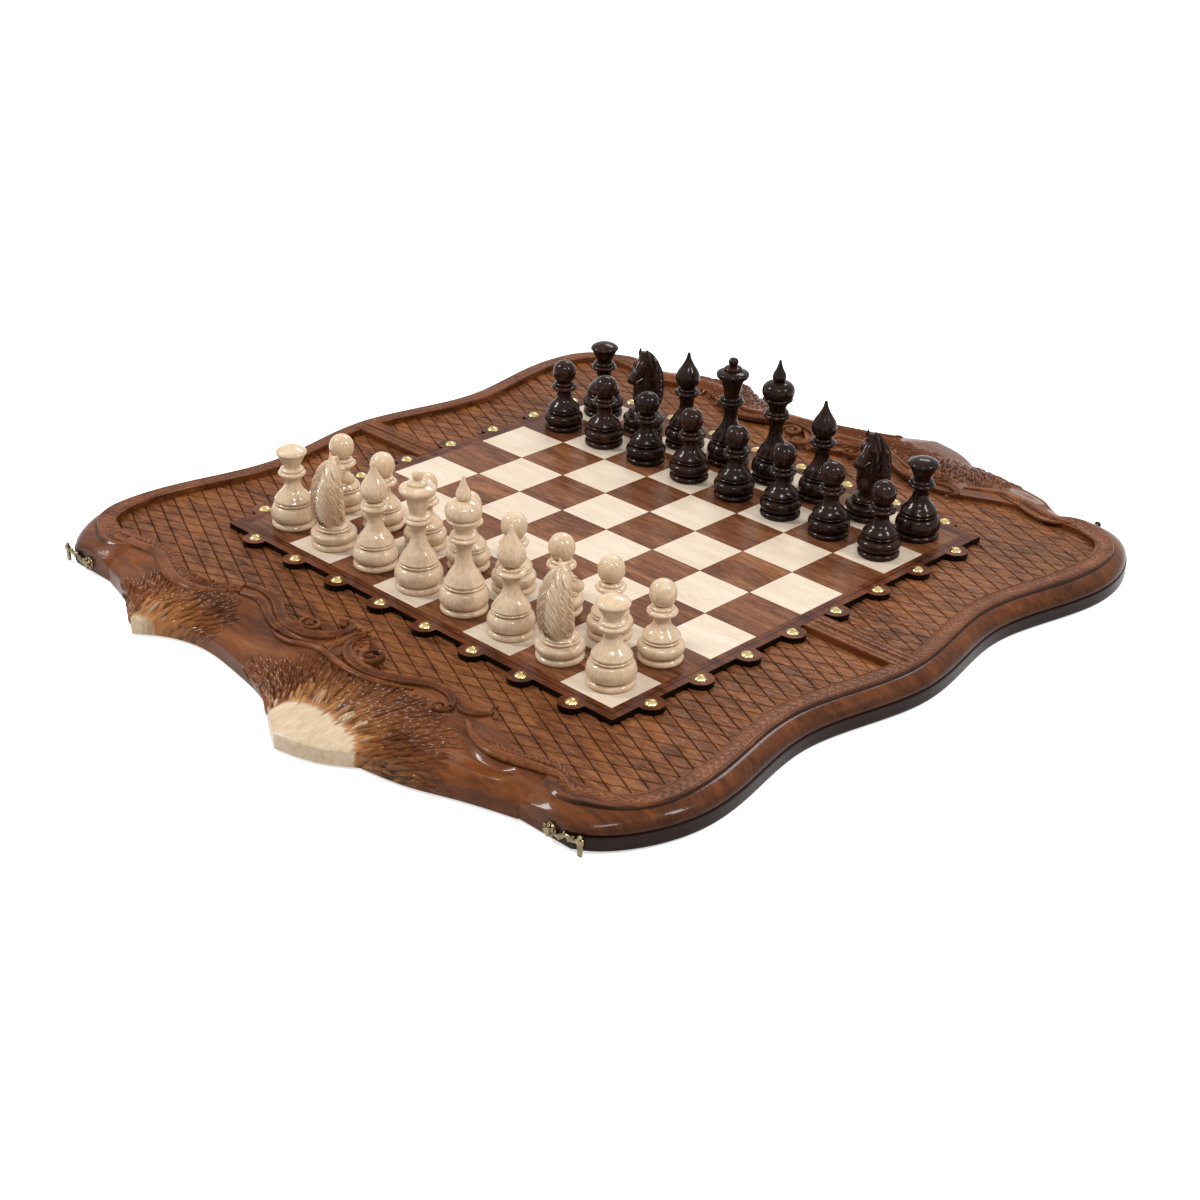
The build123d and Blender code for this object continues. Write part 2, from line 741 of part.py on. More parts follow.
def write_pieces(colour, side):
    """Set up one army: a back rank and a rank of pawns, on squares named by their file."""
    back_y = side * square * (ranks_in_half - 0.5)
    pawn_y = side * square * (ranks_in_half - 1.5)
    for column, kind in enumerate(back_rank):
        x = square * (column + 0.5) - field_half
        letter = "abcdefgh"[column]
        if kind == "knight":
            write(knight_piece(x, back_y, -side), f"{colour}_knight_{letter}")
        else:
            sizes, head = turnings[kind]
            suffix = "" if kind in ("queen", "king") else f"_{letter}"
            write(turned_piece(sizes, head, x, back_y), f"{colour}_{kind}{suffix}")
        write(turned_piece(pawn, ball_head, x, pawn_y), f"{colour}_pawn_{letter}")


for half_name, half_side in (("white_half", -1), ("black_half", 1)):
    write(tray(half_side), f"{half_name}_case")
    write(chess_panel(half_side), f"{half_name}_chess_panel")
    write(board_squares(half_side, 1), f"{half_name}_light_squares")
    write(board_squares(half_side, 0), f"{half_name}_dark_squares")
    write(rosette_nails(half_side), f"{half_name}_nails")
    write(tray_floor(half_side), f"{half_name}_tray_floor")
    write(inlaid_points(half_side, 0), f"{half_name}_light_points")
    write(inlaid_points(half_side, 1), f"{half_name}_dark_points")
    write(hinge_leaves(half_side), f"{half_name}_hinge_leaves")
    write(countersunk_screws(half_side), f"{half_name}_hinge_screws")

write(hinge_pins(), "hinge_pins")
write(hook(-1), "left_hook")
write(hook(1), "right_hook")
hook_stand = hook_gap + hook_thickness + hook_gap
write(round_fixings(-1, hook_screw_radius, hook_screw_head, hook_screw_length, hook_stand), "hook_screws")
write(round_fixings(1, keeper_radius, keeper_head, keeper_length, hook_stand + keeper_clearance), "keeper_studs")
write_pieces("white", -1)
write_pieces("black", 1)
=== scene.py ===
# %% [markdown]
# # A carved chess and backgammon box
# The set is a wooden box of two trays that lies open with its chess side up. Its rim, front edge
# and sunk field are carved, so most of the work here is carving: rings of vertices that follow the
# outline, a lattice of small pillows, and ribbons that become scrolls. The CAD frame gives the
# places of all the pieces, and everything below is built around it in the same coordinates.
# %% Load the frame
import math
import random

import bmesh
import bpy
import numpy as np
from mathutils import Matrix, Quaternion, Vector, noise
from mathutils.bvhtree import BVHTree


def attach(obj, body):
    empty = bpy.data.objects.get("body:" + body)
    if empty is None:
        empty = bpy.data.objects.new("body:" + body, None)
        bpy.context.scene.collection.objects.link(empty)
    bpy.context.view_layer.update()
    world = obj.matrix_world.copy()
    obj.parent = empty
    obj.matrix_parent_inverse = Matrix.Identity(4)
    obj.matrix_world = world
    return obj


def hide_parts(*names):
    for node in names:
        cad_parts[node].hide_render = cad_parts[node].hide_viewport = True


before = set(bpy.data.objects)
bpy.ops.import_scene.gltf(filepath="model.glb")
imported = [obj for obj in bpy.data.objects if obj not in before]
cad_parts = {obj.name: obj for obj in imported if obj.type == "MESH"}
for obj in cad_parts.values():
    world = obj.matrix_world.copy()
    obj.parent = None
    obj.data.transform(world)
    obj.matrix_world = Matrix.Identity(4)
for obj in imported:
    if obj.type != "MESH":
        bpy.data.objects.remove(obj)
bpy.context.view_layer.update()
mm = 0.001
print("nodes in the frame:", len(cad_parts))

# %% [markdown]
# ## Camera
# The photograph looks down on the board from the right hand of the white player. A camera is
# fixed by where it stands, what it looks at, a small roll and its lens. Those four are easier to
# read and to correct than a matrix, so they are given as they are.
# %% Camera
camera_place = Vector((0.9198, -0.9668, 0.6505))
camera_target = Vector((0.0828, -0.0912, 0.0300))
camera_roll = math.radians(1.59)
camera_data = bpy.data.cameras.new("camera")
camera_data.lens = 61.74
camera_data.sensor_width = 36.0
camera = bpy.data.objects.new("camera", camera_data)
aim = (camera_target - camera_place).to_track_quat("-Z", "Y")
camera.matrix_world = Matrix.LocRotScale(camera_place, aim @ Quaternion((0, 0, 1), camera_roll), None)
bpy.context.scene.collection.objects.link(camera)
bpy.context.scene.camera = camera
print("camera stands at", tuple(round(value, 3) for value in camera_place))

# %% [markdown]
# ## Light and floor
# A product is photographed on a white sweep under soft lamps. The floor here is a plain white
# plane that takes the soft shadow, and it adds some light of its own only for the rays that the
# camera and the reflections send, so it looks white without lighting the wood from below. The
# lamps are rectangles about half a metre long, small enough for the lacquer to show them as short
# bright highlights along its rolls.
# %% Light and floor
scene = bpy.context.scene
scene.view_settings.view_transform = "Standard"


def seen_directly(tree):
    """1 for rays from the camera, from a reflection or through glass, and 0 for the rest."""
    path = tree.nodes.new("ShaderNodeLightPath")
    seen = path.outputs["Is Camera Ray"]
    for ray in ("Is Glossy Ray", "Is Transmission Ray"):
        either = tree.nodes.new("ShaderNodeMath")
        either.operation = "MAXIMUM"
        tree.links.new(seen, either.inputs[0])
        tree.links.new(path.outputs[ray], either.inputs[1])
        seen = either.outputs[0]
    return seen


def build_world(daylight):
    """White to look at, and a plain soft daylight for everything else."""
    world = bpy.data.worlds.new("studio")
    world.use_nodes = True
    tree = world.node_tree
    tree.nodes.clear()
    mix = tree.nodes.new("ShaderNodeMixShader")
    tree.links.new(seen_directly(tree), mix.inputs[0])
    for socket, strength in ((1, daylight), (2, 1.0)):
        white = tree.nodes.new("ShaderNodeBackground")
        white.inputs["Color"].default_value = (1, 1, 1, 1)
        white.inputs["Strength"].default_value = strength
        tree.links.new(white.outputs[0], mix.inputs[socket])
    end = tree.nodes.new("ShaderNodeOutputWorld")
    tree.links.new(mix.outputs[0], end.inputs["Surface"])
    return world


def build_floor_finish(own_light):
    """White paint that keeps a shadow and glows a little for the eye."""
    finish = bpy.data.materials.new("white_sweep")
    finish.use_nodes = True
    tree = finish.node_tree
    tree.nodes.clear()
    paint = tree.nodes.new("ShaderNodeBsdfDiffuse")
    paint.inputs["Color"].default_value = (0.8, 0.8, 0.8, 1)
    glow = tree.nodes.new("ShaderNodeEmission")
    strength = tree.nodes.new("ShaderNodeMath")
    strength.operation = "MULTIPLY"
    strength.inputs[1].default_value = own_light
    tree.links.new(seen_directly(tree), strength.inputs[0])
    tree.links.new(strength.outputs[0], glow.inputs["Strength"])
    both = tree.nodes.new("ShaderNodeAddShader")
    tree.links.new(paint.outputs[0], both.inputs[0])
    tree.links.new(glow.outputs[0], both.inputs[1])
    end = tree.nodes.new("ShaderNodeOutputMaterial")
    tree.links.new(both.outputs[0], end.inputs["Surface"])
    return finish


print("white world and floor paint ready")

# %% Lay the floor and hang the lamps


def hang_lamp(name, place, size, power):
    """A rectangular softbox that faces the middle of the board."""
    lamp = bpy.data.lights.new(name, "AREA")
    lamp.shape = "RECTANGLE"
    lamp.size, lamp.size_y = size
    lamp.energy = power
    holder = bpy.data.objects.new(name, lamp)
    facing = (-Vector(place)).to_track_quat("-Z", "Y")
    holder.matrix_world = Matrix.LocRotScale(Vector(place), facing, None)
    scene.collection.objects.link(holder)


scene.world = build_world(daylight=0.4)
floor_half_width = 12
sweep = bmesh.new()
bmesh.ops.create_grid(sweep, x_segments=1, y_segments=1, size=floor_half_width)
sweep_mesh = bpy.data.meshes.new("floor")
sweep.to_mesh(sweep_mesh)
sweep.free()
sweep_mesh.materials.append(build_floor_finish(own_light=0.62))
floor = bpy.data.objects.new("floor", sweep_mesh)
scene.collection.objects.link(floor)
lamps = {
    "left_softbox": {"place": (-1.35, -0.9, 1.6), "size": (0.34, 0.5), "power": 28},
    "right_softbox": {"place": (1.5, 0.5, 1.5), "size": (0.34, 0.5), "power": 21},
    "back_softbox": {"place": (-0.7, 1.5, 1.6), "size": (0.9, 0.4), "power": 16},
    "top_softbox": {"place": (0.85, -0.75, 1.5), "size": (0.5, 0.16), "power": 9},
}
for name, lamp in lamps.items():
    hang_lamp(name, **lamp)
print(len(lamps), "softboxes over a white floor")

# %% [markdown]
# ## Finishes
# Nearly everything is wood under lacquer. Real wood has a broad figure, fine pores drawn out
# along the grain, and small changes of tone from piece to piece. Each wood below is one noise
# stretched along the grain for the figure and a finer one for the pores, both read from the
# object's own coordinates, so they stay put on the wood and don't slide when a part moves.
# %% Helpers for finishes
square_size = 0.045
wood_gloss = 0.05
metal_gloss = 0.5


class Paint:
    """Short names for the few shader nodes that the finishes are made of."""

    def __init__(self, name, roughness, metallic=0.0, coat=0.0, coat_roughness=0.1):
        self.finish = bpy.data.materials.new(name)
        self.finish.use_nodes = True
        self.tree = self.finish.node_tree
        self.shader = self.tree.nodes["Principled BSDF"]
        settings = {
            "Roughness": roughness,
            "Metallic": metallic,
            "Specular IOR Level": metal_gloss if metallic else wood_gloss,
            "Coat Weight": coat,
            "Coat Roughness": coat_roughness,
        }
        for socket, value in settings.items():
            self.shader.inputs[socket].default_value = value
        self.coordinates = self.tree.nodes.new("ShaderNodeTexCoord").outputs["Object"]

    def join(self, source, socket):
        """Plug an output into an input, or write a plain value there."""
        if isinstance(source, (int, float)):
            socket.default_value = source
        elif isinstance(source, tuple):
            socket.default_value = (*source, 1)
        else:
            self.tree.links.new(source, socket)

    def stretched(self, scale):
        """The object's coordinates, drawn out along the grain."""
        node = self.tree.nodes.new("ShaderNodeMapping")
        node.inputs["Scale"].default_value = scale
        self.tree.links.new(self.coordinates, node.inputs["Vector"])
        return node.outputs[0]

    def noise(self, place, scale, detail=4.0, distortion=0.0):
        """Cloudy noise from 0 to 1."""
        node = self.tree.nodes.new("ShaderNodeTexNoise")
        node.inputs["Scale"].default_value = scale
        node.inputs["Detail"].default_value = detail
        node.inputs["Distortion"].default_value = distortion
        self.tree.links.new(place, node.inputs["Vector"])
        return node.outputs["Fac"]

    def ramp(self, factor, stops):
        """Colours that follow a factor, as a list of positions and colours."""
        node = self.tree.nodes.new("ShaderNodeValToRGB")
        elements = node.color_ramp.elements
        for position, _ in stops[1:-1]:
            elements.new(position)
        for element, (position, colour) in zip(elements, stops):
            element.position = position
            element.color = (*colour, 1)
        self.tree.links.new(factor, node.inputs[0])
        return node.outputs[0]

    def math(self, operation, first, second=0.0):
        """One sum on numbers."""
        node = self.tree.nodes.new("ShaderNodeMath")
        node.operation = operation
        self.join(first, node.inputs[0])
        self.join(second, node.inputs[1])
        return node.outputs[0]

    def mix(self, factor, first, second):
        """One colour laid over another. The node has its sockets once for each kind of data."""
        node = self.tree.nodes.new("ShaderNodeMix")
        node.data_type = "RGBA"
        colour_sockets = (6, 7)
        colour_output = 2
        self.join(factor, node.inputs[0])
        for number, colour in zip(colour_sockets, (first, second)):
            self.join(colour, node.inputs[number])
        return node.outputs[colour_output]

    def attribute(self, name):
        """A number that the carving has left on the vertices, such as its painted shade."""
        node = self.tree.nodes.new("ShaderNodeAttribute")
        node.attribute_name = name
        return node.outputs["Fac"]

    def done(self, colour, height, distance):
        """Plug in the colour and a shallow relief, in metres, and hand over the finish."""
        self.join(colour, self.shader.inputs["Base Color"])
        node = self.tree.nodes.new("ShaderNodeBump")
        node.inputs["Distance"].default_value = distance
        node.inputs["Strength"].default_value = 1.0
        self.tree.links.new(height, node.inputs["Height"])
        for socket in ("Normal", "Coat Normal"):
            self.tree.links.new(node.outputs[0], self.shader.inputs[socket])
        return self.finish


print("shader helpers ready")

# %% Wood, and a number for each square


def wood_colour(paint, along, stops, figure, pores, pore_share=0.35):
    """Figure and pores of one wood, as a colour and as a height for its bump."""
    place = paint.stretched(along)
    broad = paint.noise(place, figure, detail=5.0, distortion=0.8)
    fine = paint.noise(place, pores, detail=3.0)
    broad_part = paint.math("MULTIPLY", broad, 1 - pore_share)
    fine_part = paint.math("MULTIPLY", fine, pore_share)
    return paint.ramp(paint.math("ADD", broad_part, fine_part), stops), fine


def per_square(paint):
    """A number from 0 to 1 that changes from one square of the board to the next."""
    whole = paint.tree.nodes.new("ShaderNodeVectorMath")
    whole.operation = "FLOOR"
    paint.tree.links.new(paint.stretched((1 / square_size, 1 / square_size, 0)), whole.inputs[0])
    dice = paint.tree.nodes.new("ShaderNodeTexWhiteNoise")
    dice.noise_dimensions = "3D"
    paint.tree.links.new(whole.outputs[0], dice.inputs["Vector"])
    return dice.outputs["Value"]


print("finish helpers ready")

# %% [markdown]
# ### Carved walnut
# The case is dark walnut, stained and lacquered. Two numbers ride on its vertices: how bare the
# wood is, where the tips of the apron are left pale, and how much painted shade it gets: in the
# carver's cuts, and as painted shade and reflection on the wall and groove of the moulding. The
# finish mixes its colours by them, which keeps paint and carving together.
# %% Finish of the case
walnut_stops = [
    (0.28, (0.032, 0.0085, 0.0028)),
    (0.45, (0.095, 0.0270, 0.0075)),
    (0.60, (0.165, 0.0500, 0.0135)),
    (0.78, (0.270, 0.0920, 0.0270)),
]
pale_stops = [
    (0.30, (0.44, 0.33, 0.210)),
    (0.50, (0.56, 0.43, 0.290)),
    (0.75, (0.64, 0.52, 0.385)),
]
field_stops = [
    (0.34, (0.050, 0.0150, 0.0055)),
    (0.49, (0.105, 0.0340, 0.0115)),
    (0.66, (0.215, 0.0770, 0.0255)),
]
band_stops = [
    (0.3, (0.060, 0.0165, 0.0050)),
    (0.5, (0.130, 0.0400, 0.0115)),
    (0.7, (0.240, 0.0830, 0.0260)),
]
golden_wood = (0.42, 0.180, 0.055)
fresh_gouge = (0.300, 0.110, 0.034)


def shaded_cuts(paint, colour, share, painted_shade):
    """The colour with painted shade mixed in where the shade mark is high: in the cuts and on the moulding.
    """
    return paint.mix(paint.math("MULTIPLY", paint.attribute("shade_mark"), share), colour, painted_shade)


def carved_walnut():
    """Walnut that turns pale where it is bare, golden near that, and dark with painted shade in the cuts and
    on the moulding.
    """
    paint = Paint("carved_walnut", roughness=0.3, coat=0.16, coat_roughness=0.07)
    stained, fine = wood_colour(paint, (5, 30, 30), walnut_stops, figure=1.6, pores=11.0)
    pale, _ = wood_colour(paint, (40, 12, 30), pale_stops, figure=1.5, pores=9.0, pore_share=0.6)
    golden = paint.mix(paint.attribute("golden"), stained, golden_wood)
    colour = paint.mix(paint.attribute("bare"), golden, pale)
    # The near-black colour here is painted shade, mixed in by the shade mark on the vertices.
    return paint.done(shaded_cuts(paint, colour, 0.88, (0.014, 0.005, 0.0025)), fine, 0.00006)


def carved_field():
    """Walnut of the lattice, with short gouge marks that catch the light."""
    paint = Paint("field_walnut", roughness=0.36, coat=0.07, coat_roughness=0.14)
    stained, _ = wood_colour(paint, (9, 38, 30), field_stops, figure=1.3, pores=10.0)
    gouges = paint.noise(paint.stretched((70, 260, 40)), 1.0, detail=2.0, distortion=0.5)
    scales = paint.math("MULTIPLY", paint.math("SUBTRACT", gouges, 0.40), 1.8)
    worked = paint.mix(scales, stained, fresh_gouge)
    # The grooves of the lattice get painted shade by the shade mark.
    return paint.done(shaded_cuts(paint, worked, 1.0, (0.010, 0.004, 0.002)), gouges, 0.0014)


def carved_band_finish():
    """Warmer, less glossy walnut of the plaited band and the scrolls."""
    paint = Paint("band_walnut", roughness=0.38, coat=0.1, coat_roughness=0.16)
    stained, fine = wood_colour(paint, (30, 30, 30), band_stops, figure=1.8, pores=12.0)
    # Painted shade in the low parts of the plait and in the grooves of the scrolls, by the shade mark.
    return paint.done(shaded_cuts(paint, stained, 0.9, (0.022, 0.008, 0.004)), fine, 0.0001)


case_finish = carved_walnut()
field_finish = carved_field()
band_finish = carved_band_finish()
print("carved walnut finishes:", case_finish.name, field_finish.name, band_finish.name)

# %% [markdown]
# ### Inlay, brass and lacquered pieces
# The squares are veneers, each cut from another spot, so every square reads its own noise. The
# panel's edge gets black painted shade, the shadow under its lobes, which the normal tells: it
# points sideways there. The pieces are turned along the grain, and each one has a tint of its own.
# %% Finishes of the inlay, the metal and the pieces
inlay_line = 0.1845
inlay_half_width = 0.0004
inlay_black_and_edge_shade = (0.006, 0.003, 0.002)
panel_stops = [
    (0.36, (0.040, 0.0100, 0.0038)),
    (0.50, (0.092, 0.0255, 0.0095)),
    (0.66, (0.170, 0.0520, 0.0190)),
]


def veneer(name, stops, along, roughness, tone):
    """One kind of square: grain along the board, with a change of tone for every square."""
    paint = Paint(name, roughness=roughness, coat=0.1, coat_roughness=0.09)
    colour, fine = wood_colour(paint, along, stops, figure=1.4, pores=12.0, pore_share=0.45)
    darker = paint.math("MULTIPLY", per_square(paint), tone)
    return paint.done(paint.mix(darker, colour, stops[0][1]), fine, 0.00005)


def axes_of(paint, vector):
    """The X, Y and Z of a vector, as three numbers."""
    node = paint.tree.nodes.new("ShaderNodeSeparateXYZ")
    paint.tree.links.new(vector, node.inputs[0])
    return node.outputs


def panel_walnut():
    """Walnut of the lobed panel, with black painted shade on its edge and a fine black inlay line round the
    squares.
    """
    paint = Paint("panel_walnut", roughness=0.28, coat=0.1, coat_roughness=0.1)
    stained, fine = wood_colour(paint, (8, 40, 30), panel_stops, figure=1.6, pores=10.0)
    facing = paint.tree.nodes.new("ShaderNodeNewGeometry").outputs["Normal"]
    # Painted shade: faces that point sideways, the edge under the lobes, are painted near black.
    edge = paint.math("LESS_THAN", axes_of(paint, facing)["Z"], 0.6)
    sides = axes_of(paint, paint.coordinates)
    from_middle = paint.math("MAXIMUM", *[paint.math("ABSOLUTE", sides[axis]) for axis in ("X", "Y")])
    from_line = paint.math("ABSOLUTE", paint.math("SUBTRACT", from_middle, inlay_line))
    black_line_and_edge_shade = paint.math("MAXIMUM", edge, paint.math("LESS_THAN", from_line, inlay_half_width))
    return paint.done(paint.mix(black_line_and_edge_shade, stained, inlay_black_and_edge_shade), fine, 0.00006)


def brass(name, colour, dull, roughness):
    """Brass with tarnish in clouds, which also changes its gloss."""
    paint = Paint(name, roughness=roughness, metallic=1.0)
    clouds = paint.noise(paint.stretched((1, 1, 1)), 260.0, detail=4.0)
    rough = paint.math("ADD", paint.math("MULTIPLY", clouds, 0.18), roughness - 0.05)
    paint.join(rough, paint.shader.inputs["Roughness"])
    return paint.done(paint.mix(clouds, colour, dull), clouds, 0.00006)


def turned_wood(name, stops, glint, tint, coat):
    """Lacquered wood of the pieces: grain up the piece and a tint for each square it stands on."""
    paint = Paint(name, roughness=0.24, coat=coat, coat_roughness=0.05)
    colour, fine = wood_colour(paint, (70, 70, 22), stops, figure=1.5, pores=9.0, pore_share=0.5)
    tinted = paint.math("MULTIPLY", per_square(paint), glint)
    return paint.done(paint.mix(tinted, colour, tint), fine, 0.00004)


print("inlay, brass and lacquer recipes ready")

# %% Mix the finishes of the inlay, the metal and the pieces
maple_stops = [
    (0.3, (0.56, 0.44, 0.325)),
    (0.5, (0.65, 0.54, 0.420)),
    (0.7, (0.71, 0.61, 0.495)),
]
dark_stops = [
    (0.36, (0.070, 0.0220, 0.0090)),
    (0.50, (0.165, 0.0600, 0.0250)),
    (0.64, (0.290, 0.1250, 0.0540)),
]
boxwood_stops = [
    (0.3, (0.50, 0.330, 0.190)),
    (0.5, (0.62, 0.460, 0.305)),
    (0.7, (0.72, 0.580, 0.425)),
]
espresso_stops = [
    (0.38, (0.0060, 0.0030, 0.0022)),
    (0.56, (0.016, 0.006, 0.0035)),
    (0.75, (0.095, 0.030, 0.009)),
]
tray_stops = [
    (0.25, (0.25, 0.13, 0.06)),
    (0.50, (0.36, 0.20, 0.10)),
    (0.75, (0.45, 0.27, 0.14)),
]
light_veneer = veneer("maple_veneer", maple_stops, (9, 60, 30), 0.3, 0.35)
dark_veneer = veneer("walnut_veneer", dark_stops, (10, 75, 30), 0.28, 0.55)
panel_finish = panel_walnut()
bright_brass = brass("polished_brass", (0.74, 0.58, 0.27), (0.40, 0.28, 0.11), 0.2)
old_brass = brass("antique_brass", (0.34, 0.265, 0.145), (0.030, 0.023, 0.015), 0.22)
leaf_brass = brass("hinge_brass", (0.72, 0.52, 0.22), (0.50, 0.34, 0.14), 0.3)
boxwood = turned_wood("boxwood", boxwood_stops, 0.4, (0.62, 0.42, 0.25), 0.7)
espresso = turned_wood("espresso", espresso_stops, 0.25, (0.050, 0.015, 0.006), 0.22)
tray_wood = veneer("tray_veneer", tray_stops, (9, 55, 30), 0.38, 0.0)
light_point_wood = veneer("light_point", maple_stops, (9, 60, 30), 0.38, 0.0)
dark_point_wood = veneer("dark_point", dark_stops, (9, 60, 30), 0.38, 0.0)
print("inlay, brass and lacquer finishes ready")

# %% [markdown]
# The panel, the squares, the tray floors, the points, the hinges and the studs already have the
# right shape, so each only gets its finish. The other nodes get one too, because a node that a
# closer shape stands for below stays in the file. A CAD node is never moved or changed here.
# %% Finish the CAD nodes


def finish_node(name, finish):
    """Give one finish to every slot of a CAD node."""
    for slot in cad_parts[name].material_slots:
        slot.material = finish


half_finishes = {
    "chess_panel": panel_finish,
    "light_squares": light_veneer,
    "dark_squares": dark_veneer,
    "nails": bright_brass,
    "tray_floor": tray_wood,
    "light_points": light_point_wood,
    "dark_points": dark_point_wood,
    "hinge_leaves": leaf_brass,
    "hinge_screws": leaf_brass,
    "case": case_finish,
}
piece_finishes = {"white": (boxwood, "boxwood_piece"), "black": (espresso, "dark_piece")}
piece_nodes = {}
for colour, (finish, _) in piece_finishes.items():
    for part, half_finish in half_finishes.items():
        finish_node(f"{colour}_half_{part}", half_finish)
    own_nodes = [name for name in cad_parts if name.startswith(f"{colour}_")]
    piece_nodes[colour] = [name for name in own_nodes if "half" not in name]
    for name in piece_nodes[colour]:
        finish_node(name, finish)
finish_node("hinge_pins", leaf_brass)
for fitting in ("hook_screws", "keeper_studs", "left_hook", "right_hook"):
    finish_node(fitting, old_brass)
print("pieces on the board:", len(piece_nodes["white"]), "and", len(piece_nodes["black"]))

# %% [markdown]
# ## Outline of the case
# The case is waisted at its sides and sculpted at its ends. Its plan is a few smooth curves
# through measured points, the same ones as in the CAD part, in millimetres from the middle of the
# fold. A cubic spline that keeps its bend even from span to span draws each curve, and arcs make
# the corner bulges. Everything is drawn for the white half, whose Y is negative, and mirrored.
# %% Curves through points
station_counts = {"side": 210, "corner": 44, "apron": 560, "fold": 80}
steps_per_span = 33


def spline_slopes(fixed, spans, start, end):
    """The direction of the smooth curve at each of its points."""
    size = len(fixed)
    system = np.zeros((size, size))
    right_side = np.zeros_like(fixed)
    for i in range(1, size - 1):
        before, after = spans[i - 1], spans[i]
        system[i, i - 1:i + 2] = (after, 2 * (before + after), before)
        bend_before = after * (fixed[i] - fixed[i - 1]) / before
        bend_after = before * (fixed[i + 1] - fixed[i]) / after
        right_side[i] = 3 * (bend_before + bend_after)
    first_step = (fixed[1] - fixed[0]) / spans[0]
    last_step = (fixed[-1] - fixed[-2]) / spans[-1]
    for row, other, given, step in ((0, 1, start, first_step), (-1, -2, end, last_step)):
        if given is None:
            system[row, row], system[row, other] = 2, 1
            right_side[row] = 3 * step
        else:
            system[row, row] = 1
            right_side[row] = np.array(given) / np.linalg.norm(given)
    return np.linalg.solve(system, right_side)


def smooth_line(points, count, start=None, end=None):
    """Evenly spaced places along one smooth curve through the points."""
    fixed = np.array(points, dtype=float)
    spans = np.linalg.norm(np.diff(fixed, axis=0), axis=1)
    slopes = spline_slopes(fixed, spans, start, end)
    fine = []
    for i in range(len(fixed) - 1):
        for share in np.linspace(0, 1, steps_per_span)[(1 if i else 0):]:
            square, cube = share**2, share**3
            between = (2 * cube - 3 * square + 1) * fixed[i] + (3 * square - 2 * cube) * fixed[i + 1]
            bend = (cube - 2 * square + share) * slopes[i] + (cube - square) * slopes[i + 1]
            fine.append(between + spans[i] * bend)
    return evenly(np.array(fine), count)


def evenly(line, count):
    """The same line with places at even distances."""
    run = np.concatenate([[0], np.cumsum(np.linalg.norm(np.diff(line, axis=0), axis=1))])
    wanted = np.linspace(0, run[-1], count)
    return np.column_stack([np.interp(wanted, run, line[:, axis]) for axis in range(line.shape[1])])


def arc_through(first, middle, last, count):
    """Places along the circle through three points."""
    (ax, ay), (bx, by), (cx, cy) = first, middle, last
    turn = 2 * (ax * (by - cy) + bx * (cy - ay) + cx * (ay - by))
    ux = ((ax**2 + ay**2) * (by - cy) + (bx**2 + by**2) * (cy - ay) + (cx**2 + cy**2) * (ay - by)) / turn
    uy = ((ax**2 + ay**2) * (cx - bx) + (bx**2 + by**2) * (ax - cx) + (cx**2 + cy**2) * (bx - ax)) / turn
    radius = math.hypot(ax - ux, ay - uy)
    angles = np.unwrap([math.atan2(y - uy, x - ux) for x, y in (first, middle, last)])
    sweep_angles = np.linspace(angles[0], angles[2], count)
    return np.column_stack([ux + radius * np.cos(sweep_angles), uy + radius * np.sin(sweep_angles)])


print("curve helpers ready")

# %% [markdown]
# ## Plan of the case at any level
# A moulded edge is a plan that steps inwards as it climbs. The sides step by an inset, and the
# apron slides from its foot to its ridge by a share that is called pull here. One function gives
# the whole closed plan for any inset and pull, always with the same number of stations, so that
# two plans can be joined station by station.
# %% Measures of the plan
fold_gap = 0.15
panel_bed = 190.1
seam_half_width = 285.7
waist = (270.5, -101.0)
shoulder = (285.8, -208.0)
haunch = (271.3, -258.0)
facet_y = -281.2
facet_reach = (205.0, 252.0)
facet_outer_x = 249.0
fold_heading = (0, -1)
corner_heading = (-0.9, -0.43)
corner_crown = (228.5, -290)
crown_slide = 20
apron_stretches = [
    [(208, -281.2, 204, -256), (163, -295, 158, -264), (138, -304.6, 134, -252), (101, -312, 104, -246)],
    [(101, -312, 104, -246), (82, -325.3, 84, -245), (48.5, -335.2, 44, -255)],
    [(48.5, -335.2, 44, -255), (27, -323, 24, -260), (7, -309.6, 3, -263), (-45, -295.5, -30, -265),
     (-88, -292.5, -80, -253), (-115, -301.5, -103, -262), (-132, -314, -118, -270)],
    [(-132, -314, -118, -270), (-165, -294.5, -160, -267), (-208, -281.2, -204, -256)],
]
apron_shares = [0.215, 0.13, 0.465, 0.19]
apron_counts = [round(station_counts["apron"] * share) for share in apron_shares]


print("stations along the apron:", sum(apron_counts))

# %% Plan of the case


def at_pull(point, pull):
    """One apron point on its way from the foot to the ridge."""
    foot_x, foot_y, ridge_x, ridge_y = point
    return foot_x + (ridge_x - foot_x) * pull, foot_y + (ridge_y - foot_y) * pull


def side_points(hand, inset):
    """Points down one waisted side, from the fold to the corner."""
    return [
        (hand * (seam_half_width - inset), -fold_gap),
        (hand * (waist[0] - inset), waist[1]),
        (hand * (shoulder[0] - inset), shoulder[1]),
        (hand * (haunch[0] - 0.9 * inset), 0.5 * inset + haunch[1]),
        (hand * (facet_outer_x - 0.75 * inset), facet_y + 1.35 * inset),
    ]


def fold_line(start, end):
    """The line along the fold, with close stations where the chess panel begins and ends."""
    step = 0.05
    at_end = 12
    marks = [start[0], -panel_bed - step, -panel_bed, panel_bed, panel_bed + step, end[0]]
    counts = [at_end, 2, station_counts["fold"] - 2 * at_end, 2, at_end]
    runs = [np.linspace(*ends, count) for *ends, count in zip(marks, marks[1:], counts)]
    places = np.concatenate(runs[:1] + [run[1:] for run in runs[1:]])
    return np.column_stack([places, np.full(len(places), start[1])])


